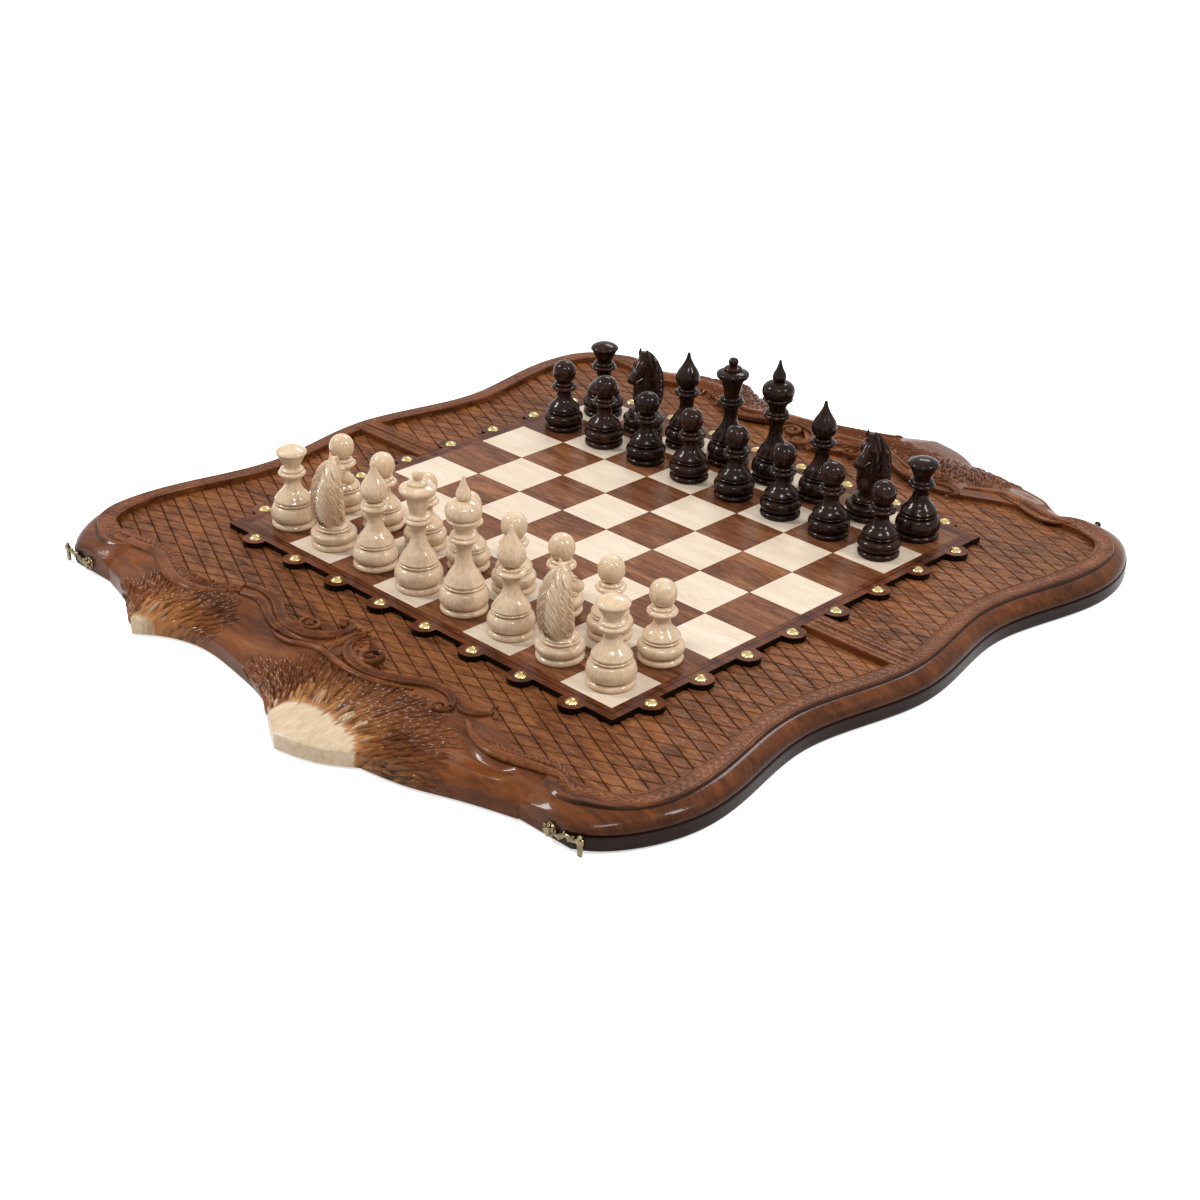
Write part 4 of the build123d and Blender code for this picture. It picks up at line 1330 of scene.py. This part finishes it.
def lay_tuft(bm, layers, start, heading, length, width, from_edge, strength):
    """One tuft from its root along a heading, with painted shade under it and its gold."""
    laid = tuft_path(start, heading, length, strength)
    if laid is None:
        return
    path, normals = laid
    before = len(bm.verts)
    sweep_along(bm, path, [width * share for share in tuft_widths], tuft_heights, up=tuple(normals[2]),
                section=tuft_section)
    bm.verts.ensure_lookup_table()
    shade_mark, golden, bare = layers
    gold = 0.6 + 0.8 * noise.noise(Vector((start[0], start[1], 1.0)))
    gold = min(max(0.85 * smooth_step(34.0, 0.0, from_edge) * gold, 0.0), 1.0)
    for number in range(before, len(bm.verts)):
        vert = bm.verts[number]
        # Painted shade between and under the tufts.
        vert[shade_mark] = (0.2 + 0.45 * strength) * tuft_painted_shade[(number - before) % len(tuft_section)]
        vert[golden] = gold
        vert[bare] = 0.75 * smooth_step(4.0, 0.0, from_edge)


def lay_row(zone, radius, dice):
    """The tufts at one distance from the tip, as a mesh of their own."""
    bm = bmesh.new()
    layers = [bm.verts.layers.float.new(name) for name in carving_marks_and_shade]
    for angle in np.arange(-1.95, 1.95, tuft_gap / radius):
        heading = angle + dice.uniform(-0.5, 0.5) * tuft_gap / radius
        reach = radius + dice.uniform(-2.0, 2.0)
        middle_x, middle_y = zone["centre"]
        start = (middle_x + reach * math.sin(heading), middle_y + reach * math.cos(heading))
        root = tuft_root(zone, *start, dice)
        if root:
            wander = 0.5 * noise.noise(Vector((start[0] / 22, start[1] / 22, 5.0))) + dice.uniform(-0.2, 0.2)
            length, width = dice.uniform(9.0, 15.0), dice.uniform(1.2, 1.8)
            lay_tuft(bm, layers, start, heading + wander, length, width, *root)
    return bm


def build_tufts():
    """All the tufts of the white half."""
    dice = random.Random(tuft_seed)
    rows = [lay_row(zone, radius, dice) for zone in tuft_zones
            for radius in np.arange(*zone["radii"], tuft_row_gap)]
    return join_meshes(rows)


make_halves(build_tufts(), "carved_tufts", case_finish, crease=50)

# %% [markdown]
# ### Where the scrolls run
# The left scroll comes out of a small flower, follows the ridge and curls up at the middle, where
# a frond parts it from the right one. The right scroll mirrors it loosely, ends in a small curl
# and a hooked leaf, and a long plain horn runs from the corner band along the roll. A spiral winds
# in beside each of them.
# %% Paths of the scrolls
land_z = top_z - 0.3
scroll_boost = 1.35
spiral_share = 0.72


def spiral(centre, radius, start, turns):
    """Points that wind in to a centre, from a start angle in degrees."""
    shares = np.linspace(0, 1, 14)
    angles = math.radians(start) + 2 * math.pi * turns * shares
    radii = radius * (1 - spiral_share * shares)
    return [(centre[0] + reach * math.cos(angle), centre[1] + reach * math.sin(angle))
            for reach, angle in zip(radii, angles)]


leaf_paths = [
    {"points": [(-103, -243), (-90, -238.5), (-67.5, -242.5), (-45, -254.5), (-24, -256.5), (-10, -249),
                (-5, -237), (-7, -228), (-14, -224.5), (-19, -229)],
     "width": [1.2, 3.6, 4.2, 4.6, 4.2, 3.0, 1.6], "height": [1.0, 1.5, 1.8, 1.9, 1.9, 1.6, 1.2]},
    {"points": [(-96, -252), (-78, -249), (-62, -255), (-45, -262), (-24, -264), (-6, -259)],
     "width": [1.0, 2.8, 3.2, 2.6, 1.0], "height": [0.8, 1.5, 1.7, 1.4, 0.8]},
    {"points": [(8, -228), (9.5, -244), (22, -254.5), (39, -258.5), (55, -256.5), (74, -246), (90, -239.5),
                (106, -243), (113, -250)],
     "width": [1.4, 3.2, 4.6, 4.2, 4.4, 4.0, 3.4, 2.0], "height": [1.2, 1.7, 1.9, 1.8, 1.8, 1.6, 1.3]},
    {"points": [(113, -250), (112, -256.5), (106, -257.5), (104, -253), (107.5, -251.5)],
     "width": [2.4, 2.2, 1.6, 1.0], "height": [1.6, 1.6, 1.4, 1.1]},
    {"points": [(112, -243), (119, -246.5), (129, -244.5), (134.5, -238), (130.5, -231.5)],
     "width": [1.0, 3.4, 3.2, 1.8, 0.6], "height": [1.0, 1.6, 1.6, 1.2, 0.8]},
    {"points": spiral((30, -243.5), 10.5, 190, 1.35),
     "width": [0.8, 2.1, 2.1, 1.7, 1.2, 0.8], "height": [1.0, 1.5, 1.5, 1.3, 1.0]},
]
stem_paths = [
    {"points": [(-222, -262), (-206, -258), (-182, -256.5), (-160, -265), (-136, -270.5), (-116, -266),
                (-104, -256)],
     "width": [2.0, 4.4, 5.0, 5.0, 4.6, 2.4], "height": [0.8, 1.8, 2.0, 2.0, 1.8, 1.2]},
    {"points": spiral((-30, -243.5), 8.5, 150, 1.35),
     "width": [0.8, 1.7, 1.7, 1.3, 0.8], "height": [1.0, 1.5, 1.4, 1.2, 0.9]},
    {"points": [(226, -262), (214, -256.5), (202, -258), (184, -263), (166, -266.5), (146, -262),
                (130, -253)],
     "width": [1.0, 3.4, 4.2, 4.0, 3.2, 1.0], "height": [0.6, 1.7, 1.9, 1.8, 1.4, 0.6]},
    {"points": [(2, -258), (3, -246), (2, -236), (4, -226)],
     "width": [3.4, 3.0, 2.4, 0.6], "height": [1.2, 1.9, 1.7, 0.8]},
    {"points": [(-40, -268), (-20, -269), (-2, -262), (14, -263), (34, -266), (58, -262), (80, -252)],
     "width": [0.8, 2.4, 2.8, 2.8, 2.6, 0.8], "height": [0.6, 1.5, 1.8, 1.8, 1.5, 0.6]},
]
berries = [((-14, -230), 3.0), ((-30, -243.5), 2.0), ((30, -243.5), 2.3), ((107, -254.5), 2.0),
           ((3.5, -223), 2.0), ((16, -240), 1.6), ((-3, -243), 1.5), ((131.5, -229.5), 1.4)]
flower = (-104.0, -250.0)
petals = 5
petal_reach = 3.6
frond_foot = (3, -249)
frond_leaves = 7
print("scrolls along the ridge:", len(leaf_paths) + len(stem_paths))

# %% Build the scrolls


def lay_scroll(bm, shade_mark, scroll, section):
    """One ribbon or stem on the land, with painted shade in the groove of a ribbon."""
    line = smooth_line(scroll["points"], 8 * len(scroll["points"]))
    before = set(bm.verts)
    heights = [scroll_boost * height for height in scroll["height"]]
    sweep_along(bm, with_height(line, land_z), scroll["width"], heights, section=section)
    if section is leaf_section:
        # Painted shade in the groove of the ribbon.
        for vert in set(bm.verts) - before:
            if vert.co.z < land_z + 1.15:
                vert[shade_mark] = 0.6


def lay_frond(bm):
    """A fan of small leaves at the middle, between the two scrolls."""
    foot_x, foot_y = frond_foot
    for number in range(frond_leaves):
        turn = math.radians(35 + 18 * number)
        half_way = (foot_x + 8 * math.cos(turn), foot_y + 12 * math.sin(turn))
        end = (foot_x + 17 * math.cos(turn), foot_y + 25 * math.sin(turn))
        line = smooth_line([(foot_x, foot_y - 1), half_way, end], 10)
        sweep_along(bm, with_height(line, land_z - 0.4), [1.0, 2.0, 0.5], [1.4, 1.9, 0.9],
                    section=leaf_section)


def build_scrolls():
    """All the scrolls of the white half in one mesh."""
    bm = bmesh.new()
    shade_mark = bm.verts.layers.float.new("shade_mark")
    for paths, section in ((leaf_paths, leaf_section), (stem_paths, round_section)):
        for scroll in paths:
            lay_scroll(bm, shade_mark, scroll, section)
    for (x, y), radius in berries:
        berry(bm, (x, y, land_z + 0.3), radius, radius * 0.75)
    for number in range(petals):
        turn = 2 * math.pi * number / petals
        x, y = flower[0] + petal_reach * math.cos(turn), flower[1] + petal_reach * math.sin(turn)
        berry(bm, (x, y, land_z + 0.4), 2.5, 1.7)
    berry(bm, (*flower, land_z + 1.2), 1.7, 1.5)
    lay_frond(bm)
    return bm


make_halves(build_scrolls(), "scrolls", band_finish, crease=60)

# %% [markdown]
# ## Nails
# Domed brass nails with four petals hold the corners of the panel's lobes. A dome is a few rings
# that climb to the middle, and the petals are a ripple in its height that grows towards the rim.
# The rings are extruded from one circle, so each nail is a small closed cap.
# %% Build the nails
nail_radius = 4.5
nail_height = 2.1
nail_petals = 4
nail_segments = 24
nail_shares = (1.0, 0.92, 0.8, 0.64, 0.46, 0.28, 0.2, 0.08)
field_half = 180.0
lobe_offset = 11.7
square_mm = square_size / mm


def lobe_places():
    """Middles of the sixteen lobes of the white half."""
    ranks = [-square_mm * (rank + 0.5) for rank in range(4)]
    columns = [square_mm * (column + 0.5) - field_half for column in range(8)]
    sides = [(hand * (field_half + lobe_offset), y) for hand in (1, -1) for y in ranks]
    return sides + [(x, -field_half - lobe_offset) for x in columns]


def dome_ring(x, y, share):
    """One ring of a petalled dome, from its rim at 1 to its middle at 0."""
    places = []
    for turn in np.linspace(0, 2 * math.pi, nail_segments + 1)[:-1]:
        ripple = abs(math.cos(nail_petals / 2 * turn))
        radius = nail_radius * share * (1 - 0.07 * (1 - ripple) * share)
        height = nail_height * (1 - share**2.6) * (1 - 0.30 * (1 - ripple) * share)
        height += 0.35 * bell(share, 0.0, 0.16)
        places.append((x + radius * math.cos(turn), y + radius * math.sin(turn), top_z + 0.05 + height))
    return places


def build_nails():
    """The sixteen nails of the white half."""
    bm = bmesh.new()
    for x, y in lobe_places():
        ring = bmesh.ops.create_circle(bm, segments=nail_segments, radius=nail_radius)["verts"]
        bmesh.ops.translate(bm, vec=(x, y, top_z - 0.3), verts=ring)
        bmesh.ops.contextual_create(bm, geom=ring)
        for share in nail_shares:
            ring = next_ring(bm, ring, dome_ring(x, y, share))
        bmesh.ops.contextual_create(bm, geom=ring)
    return bm


make_halves(build_nails(), "rosette_nails", bright_brass, crease=50, stands_for="nails")

# %% [markdown]
# ## Turned pieces
# A lathe cuts a piece as a row of rings: foot ring, bulb, bead, skirt, neck, collar and head. A
# sharp groove parts each two, and those dark lines are what makes a turned piece read as turned.
# The profile is therefore a list of smooth runs that meet in the grooves, spun round the axis.
# %% Profiles of the turned pieces
turned_sizes = {
    # foot, bulb height, groove height, skirt, neck, neck height, collar, collar height, stem
    "pawn": (14.9, 9.6, 15.2, 12.4, 5.6, 27.5, 10.1, 34.6, 5.2),
    "rook": (15.8, 10.6, 18.0, 13.2, 5.8, 32.5, 9.8, 40.2, 5.8),
    "bishop": (15.6, 10.2, 17.0, 12.8, 5.5, 33.4, 9.9, 44.2, 4.6),
    "queen": (16.2, 11.6, 18.4, 13.3, 5.2, 38.0, 10.0, 50.0, 6.0),
    "king": (16.2, 12.0, 18.8, 13.4, 5.2, 39.0, 10.0, 52.2, 6.2),
}
head_runs = {
    "pawn": [[(4.6, 38.6), (7.6, 41.6), (9.0, 46.9), (7.9, 51.6), (5.2, 54.7), (2.4, 56.0), (0, 56.2)]],
    "rook": [
        [(5.6, 44.5), (6.2, 46.2), (7.6, 49.2), (9.2, 52.6), (10.0, 54.6)],
        [(10.0, 54.6), (10.9, 55.0), (11.0, 56.2), (10.5, 57.0), (9.0, 58.2), (6.2, 59.5), (3.0, 60.3),
         (0, 60.5)],
    ],
    "bishop": [[(4.2, 48.4), (7.0, 50.0), (9.1, 53.4), (9.4, 57.0), (8.1, 61.4), (5.3, 65.8), (2.9, 70.2),
                (1.5, 74.2), (0.7, 76.8), (0, 77.2)]],
    "queen": [
        [(5.8, 54.3), (6.2, 57.0), (7.2, 62.0), (8.4, 66.0), (9.6, 68.4)],
        [(9.6, 68.4), (11.7, 69.6), (12.5, 71.2), (12.3, 72.8), (10.8, 74.0), (8.4, 74.8), (6.6, 75.3)],
        [(6.6, 75.3), (7.0, 76.2), (6.3, 77.4), (4.4, 78.2), (2.6, 78.7)],
        [(2.6, 78.7), (3.7, 80.6), (3.6, 83.0), (2.0, 84.7), (0, 85.1)],
    ],
    "king": [
        [(6.0, 56.5), (6.4, 58.0), (7.4, 61.0), (9.0, 63.6)],
        [(9.0, 63.6), (10.9, 64.4), (11.3, 65.4), (10.8, 66.4), (9.8, 66.8)],
        [(9.8, 66.8), (11.4, 68.0), (12.2, 71.4), (11.6, 74.8), (9.0, 77.6), (5.8, 78.9), (3.2, 79.3)],
        [(3.2, 79.3), (4.7, 80.6), (5.2, 83.0), (4.4, 85.8), (3.0, 88.4), (1.9, 91.4), (1.1, 94.4),
         (0.5, 95.9), (0, 96.0)],
    ],
}


print("kinds of turned piece:", ", ".join(turned_sizes))

# %% Smooth runs of a profile


def foot_runs(foot, bulb, groove, skirt):
    """Foot ring, bulb and bead: what every piece stands on."""
    return [
        [(0, 0), (foot - 1.8, 0)],
        [(foot - 1.8, 0), (foot - 0.5, 0.7), (foot, 2.2), (foot - 0.6, 3.7), (foot - 3.3, 4.8)],
        [(foot - 3.3, 4.8), (foot - 1.2, 5.7), (foot + 0.2, 7.9), (foot + 0.4, bulb),
         (foot - 0.1, bulb + 2.0), (skirt + 0.9, groove - 2.2), (skirt - 2.2, groove - 0.9)],
        [(skirt - 2.2, groove - 0.9), (skirt + 0.1, groove - 0.4), (skirt + 0.3, groove + 0.3),
         (skirt - 0.2, groove + 0.8), (skirt - 2.0, groove + 1.1)],
    ]


def bell_runs(groove, skirt, neck, neck_z, collar, collar_z, stem):
    """Skirt and neck in one hollow sweep, then the collar and the bead on it."""
    lip_z = groove + 3.4
    hollow = [(neck + (skirt - neck) * width, lip_z + (neck_z - lip_z) * rise)
              for rise, width in ((0.22, 0.70), (0.44, 0.40), (0.68, 0.15))]
    lip = [(skirt - 2.0, groove + 1.1), (skirt - 0.1, groove + 1.6), (skirt + 0.1, groove + 2.4),
           (skirt - 0.5, lip_z)]
    return [
        lip + hollow
        + [(neck, neck_z), (neck + 0.5, (neck_z + collar_z) / 2), (neck + 2.0, collar_z - 2.4)],
        [(neck + 2.0, collar_z - 2.4), (collar - 1.2, collar_z - 1.7), (collar, collar_z - 0.3),
         (collar - 0.7, collar_z + 1.1), (stem + 1.9, collar_z + 1.8)],
        [(stem + 1.9, collar_z + 1.8), (stem + 2.6, collar_z + 2.5), (stem + 2.2, collar_z + 3.5),
         (stem - 0.2, collar_z + 4.2)],
    ]


turning_steps = 48


def whole_profile(runs):
    """One profile out of smooth runs that meet in sharp grooves."""
    lines = [smooth_line(run, 2 if len(run) == 2 else 2 * len(run) + 2) for run in runs]
    return np.vstack([line[:-1] for line in lines] + [lines[-1][-1:]])


def turn_profile(bm, profile):
    """A solid of revolution round the Z axis from a half profile."""
    verts = [bm.verts.new((radius, 0, height)) for radius, height in profile]
    edges = [bm.edges.new(pair) for pair in zip(verts, verts[1:])]
    bmesh.ops.spin(bm, geom=verts + edges, cent=(0, 0, 0), axis=(0, 0, 1), angle=2 * math.pi,
                   steps=turning_steps, use_merge=True)


def axis_of(name):
    """Where the axis of a piece stands, in millimetres."""
    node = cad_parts[name]
    corners = [node.matrix_world @ Vector(corner) for corner in node.bound_box]
    return [sum(corner[axis] for corner in corners) / 8 / mm for axis in (0, 1)]


print("steps round a turned piece:", turning_steps)

# %% Turn the pieces
for colour, (finish, slot_name) in piece_finishes.items():
    for node in piece_nodes[colour]:
        kind = node.split("_")[1]
        if kind == "knight":
            continue
        measures = turned_sizes[kind]
        runs = foot_runs(*measures[:4]) + bell_runs(*measures[2:]) + head_runs[kind]
        turning = bmesh.new()
        turn_profile(turning, whole_profile(runs))
        bmesh.ops.translate(turning, vec=(*axis_of(node), top_z), verts=turning.verts)
        make_piece(turning, f"{node}_turned", finish, node, crease=34, stands_for=(node,))

# %% [markdown]
# ## Knights
# A knight can't be turned on a lathe above its foot, so it is carved. Neck and head are rings of
# ellipses along two lines, which gives the soft swelling of the muscles. The mane is a full mass
# of hair behind them, and its locks are swept over that mass from the crest down and forwards.
# %% Shape of a knight
knight_neck = [
    # height, shift forwards, half width, half depth
    (15.5, -0.3, 7.4, 7.8), (18.5, -0.5, 7.0, 7.4), (22.0, -0.8, 7.0, 7.6), (26.0, -1.3, 7.2, 8.2),
    (31.0, -2.1, 7.2, 8.7), (36.0, -2.9, 7.0, 9.0), (41.0, -3.4, 6.8, 9.0), (46.0, -3.2, 6.5, 8.7),
    (51.0, -2.3, 5.9, 7.9), (56.0, -0.9, 5.1, 6.7), (60.0, 0.5, 3.7, 4.9), (62.6, 1.3, 1.8, 2.4),
]
hair_mass = [
    (17.0, -1.0, 6.6, 7.0), (21.0, -2.6, 8.8, 9.2), (26.0, -3.4, 9.8, 10.2), (33.0, -3.9, 9.9, 10.4),
    (40.0, -3.9, 9.6, 10.1), (47.0, -3.6, 8.8, 9.2), (53.0, -2.2, 7.6, 8.0), (58.0, -0.4, 6.2, 6.6),
    (62.0, 1.0, 4.6, 4.8), (65.4, 2.2, 2.0, 2.2),
]
knight_poll = Vector((0, -1.0, 57.0))
knight_muzzle = Vector((0, 17.2, 42.8))
knight_head = [
    # distance from the poll, half width, half depth, drop
    (-4.5, 2.4, 3.4, 0.0), (-2.5, 4.2, 5.6, 0.0), (0, 5.1, 6.6, 0.0), (4, 5.3, 7.1, 0.3),
    (8, 4.9, 6.8, 0.6), (12, 4.0, 5.4, 0.4), (15.5, 3.5, 4.5, 0.1), (18.5, 3.4, 4.2, -0.2),
    (21, 3.4, 4.2, -0.4), (22.6, 2.9, 3.5, -0.6), (23.4, 1.5, 1.9, -0.7),
]
knight_segments = 28
lowest_lock = 18.5
lock_widths = (0.5, 1.0, 1.15, 0.9, 0.25)
lock_heights = (0.7, 1.2, 1.4, 1.2, 0.5)
lock_families = [
    {"count": 12, "turns": (0, 92), "heights": (65.0, 28.0), "fall": 22.0, "width": 1.7},
    {"count": 9, "turns": (32, 118), "heights": (63.0, 34.0), "fall": 18.0, "width": 1.6},
    {"count": 6, "turns": (66, 140), "heights": (56.0, 36.0), "fall": 15.0, "width": 1.4},
]


print("rings of a neck and of its hair:", len(knight_neck), "and", len(hair_mass))

# %% Rings and locks of a knight


def ellipse_ring(middle, side, lift, half_width, half_depth):
    """Places round an ellipse in the plane of two directions."""
    turns = np.linspace(0, 2 * math.pi, knight_segments + 1)[:-1]
    return [middle + side * half_width * math.cos(turn) + lift * half_depth * math.sin(turn)
            for turn in turns]


def on_hair(turn, height, proud):
    """A place on the mass of hair, by the angle from the back of the neck and the height."""
    heights, *measures = zip(*hair_mass)
    middle, half_width, half_depth = [np.interp(height, heights, values) for values in measures]
    angle = math.radians(turn)
    return (half_width + proud) * math.sin(angle), middle - (half_depth + proud) * math.cos(angle), height

def lock_path(family, number, hand):
    """Where one lock of the mane runs, from the crest down and forwards."""
    first, last = family["heights"]
    top = first + (last - first) * (number / (family["count"] - 1))
    fall = family["fall"] * (0.85 + 0.3 * (number % 2))
    swing = 16 if number % 2 else 8
    back, front = family["turns"]
    path = []
    for step in np.linspace(0, 1, 11):
        turn = back + (front - back) * step**1.2 + swing * math.sin(5.2 * step)
        height = max(top - fall * step, lowest_lock)
        x, y, z = on_hair(max(turn, 0), height, 0.1 + 1.1 * math.sin(2.6 * step))
        path.append((hand * x, y, z))
    return path


def lay_locks(bm, hand):
    """The locks of the mane on one side."""
    for family in lock_families:
        for number in range(family["count"]):
            path = lock_path(family, number, hand)
            outwards = Vector(path[5]) - Vector((0, -2.5, path[5][2]))
            sweep_along(bm, path, [family["width"] * share for share in lock_widths], lock_heights,
                        up=tuple(outwards), section=leaf_section)


print("locks on each side of a mane:", sum(family["count"] for family in lock_families))

# %% Carve a knight
side, ahead, up = Vector((1, 0, 0)), Vector((0, 1, 0)), Vector((0, 0, 1))
nose_line = (knight_muzzle - knight_poll).normalized()
brow_line = side.cross(nose_line)


def on_head(along, rise, out=0.0):
    """A place on the head: along the nose from the poll, up from that line and out to a side."""
    return knight_poll + nose_line * along + brow_line * rise + side * out


def carve_face(bm, hand):
    """Ear, eye, brow and nostril on one side of the head."""
    ear = smooth_line([(hand * 2.9, 1.8, 60.0), (hand * 3.5, 2.6, 64.0), (hand * 3.7, 2.1, 67.8)], 8)
    sweep_along(bm, ear, [2.0, 1.9, 0.3], [1.5, 1.2, 0.3], up=(0, 1, 0))
    berry(bm, on_head(7.6, 2.6, hand * 4.7), 1.1, 1.1)
    brow = [tuple(on_head(along, rise, hand * out))
            for along, rise, out in ((4.8, 3.4, 4.7), (7.6, 4.6, 4.6), (10.2, 3.2, 4.1))]
    sweep_along(bm, smooth_line(brow, 8), [0.3, 0.7, 0.3], [0.3, 0.6, 0.3], up=(hand, 0, 0.2))
    berry(bm, on_head(20.8, 1.2, hand * 3.0), 0.9, 0.9)


def build_knight():
    """One knight at the origin that faces +Y, in millimetres."""
    bm = bmesh.new()
    plinth = [(10.8, 15.1), (11.6, 15.8), (11.0, 16.8), (8.6, 17.4), (0, 17.6)]
    turn_profile(bm, whole_profile(foot_runs(15.9, 9.0, 14.0, 12.4) + [plinth]))
    for mass in (knight_neck, hair_mass):
        loft_rings(bm, [ellipse_ring(ahead * middle + up * height, side, ahead, width, depth)
                        for height, middle, width, depth in mass])
    loft_rings(bm, [ellipse_ring(on_head(distance, -drop), side, brow_line, width, depth)
                    for distance, width, depth, drop in knight_head])
    for hand in (1, -1):
        lay_locks(bm, hand)
        carve_face(bm, hand)
    jaw = [tuple(on_head(*place)) for place in ((21.5, -3.0), (16, -5.2), (9, -8.0), (3, -8.0))]
    sweep_along(bm, smooth_line(jaw, 10), [1.6, 2.4, 3.6, 2.6], [1.0, 1.6, 2.2, 1.5], up=tuple(brow_line))
    chest = [(0, 6.6, 20.5), (0, 7.6, 24.5), (0, 6.4, 29.0), (0, 5.2, 33.0)]
    sweep_along(bm, smooth_line(chest, 10), [3.0, 4.4, 3.6, 1.6], [1.0, 1.6, 1.3, 0.6], up=(0, 1, 0))
    return bm


# %% Stand the knights on their squares
half_turn = Matrix.Rotation(math.pi, 3, "Z")
knight_columns = {"b": -2.5 * square_mm, "g": 2.5 * square_mm}
for colour, hand in (("white", -1), ("black", 1)):
    finish, slot_name = piece_finishes[colour]
    for letter, x in knight_columns.items():
        knight = build_knight()
        if hand > 0:
            bmesh.ops.rotate(knight, cent=(0, 0, 0), matrix=half_turn, verts=knight.verts)
        bmesh.ops.translate(knight, vec=(x, hand * 3.5 * square_mm, top_z), verts=knight.verts)
        node = f"{colour}_knight_{letter}"
        make_piece(knight, f"{node}_carved", finish, node, crease=50, stands_for=(node,))

# %% [markdown]
# ## Latches
# The two hooks are cast brass with an old dark finish. A rosette of knobs sits round the pivot, a
# waved arm with small knobs runs to a block, and from the block a flat tongue hangs down that
# catches behind the stud of the other half when the box is closed.
# %% Cast the latches
hook_place = (231.0, 7.6)
hook_front = facet_y - 0.3
hook_end = (24.5, 3.5)
hook_arm = [(1.5, 0.2), (6.0, -1.0), (10.0, 0.5), (13.5, 2.4), (17.5, 1.8), (21.0, 2.4), hook_end]
hook_knobs = [(5.2, 1.3), (8.2, -2.0), (12.0, 3.6), (15.6, 0.2), (19.2, 3.9)]
rosette_knobs = 6
arm_proud = 1.2
arm_widths = (1.9, 1.2, 1.9, 1.1, 1.8, 1.2, 1.7)
arm_heights = (1.1, 0.9, 1.2, 0.9, 1.2, 1.0, 1.1)


def block(bm, middle, size):
    """A box with softened edges."""
    made = bmesh.ops.create_cube(bm, size=1.0)["verts"]
    bmesh.ops.scale(bm, vec=size, verts=made)
    bmesh.ops.translate(bm, vec=middle, verts=made)
    edges = list({edge for vert in made for edge in vert.link_edges})
    bmesh.ops.bevel(bm, geom=edges, offset=0.35, segments=2, profile=0.5, affect="EDGES",
                    material=-1)


def build_hook(hand):
    """One latch on its facet, in millimetres."""
    def at(along, rise, proud):
        return (hand * (hook_place[0] + along), hook_front - proud, hook_place[1] + rise)

    bm = bmesh.new()
    disc = bmesh.ops.create_cone(bm, cap_ends=True, segments=32, radius1=4.5, radius2=3.9, depth=1.4)
    disc = disc["verts"]
    upright = Matrix.Rotation(math.pi / 2, 3, "X")
    bmesh.ops.rotate(bm, cent=(0, 0, 0), matrix=upright, verts=disc)
    bmesh.ops.translate(bm, vec=at(0, 0, 0.7), verts=disc)
    for number in range(rosette_knobs):
        turn = 2 * math.pi * number / rosette_knobs + 0.4
        berry(bm, at(3.3 * math.cos(turn), 3.3 * math.sin(turn), 1.5), 1.35, 1.35)
    arm = [at(along, rise, arm_proud) for along, rise in smooth_line(hook_arm, 26)]
    sweep_along(bm, arm, arm_widths, arm_heights, up=(0, -1, 0))
    for along, rise in hook_knobs:
        berry(bm, at(along, rise, arm_proud), 1.0, 1.0)
    end_along, end_rise = hook_end
    block(bm, at(end_along, end_rise - 0.2, arm_proud), (4.6, 2.4, 3.4))
    berry(bm, at(end_along, end_rise + 2.6, arm_proud), 1.5, 1.5)
    block(bm, at(end_along, -1.9, 1.0), (3.2, 1.8, 8.6))
    return bm


for name, hand in (("left_hook", -1), ("right_hook", 1)):
    make_piece(build_hook(hand), f"{name}_cast", old_brass, name, crease=40,
               stands_for=(name,))
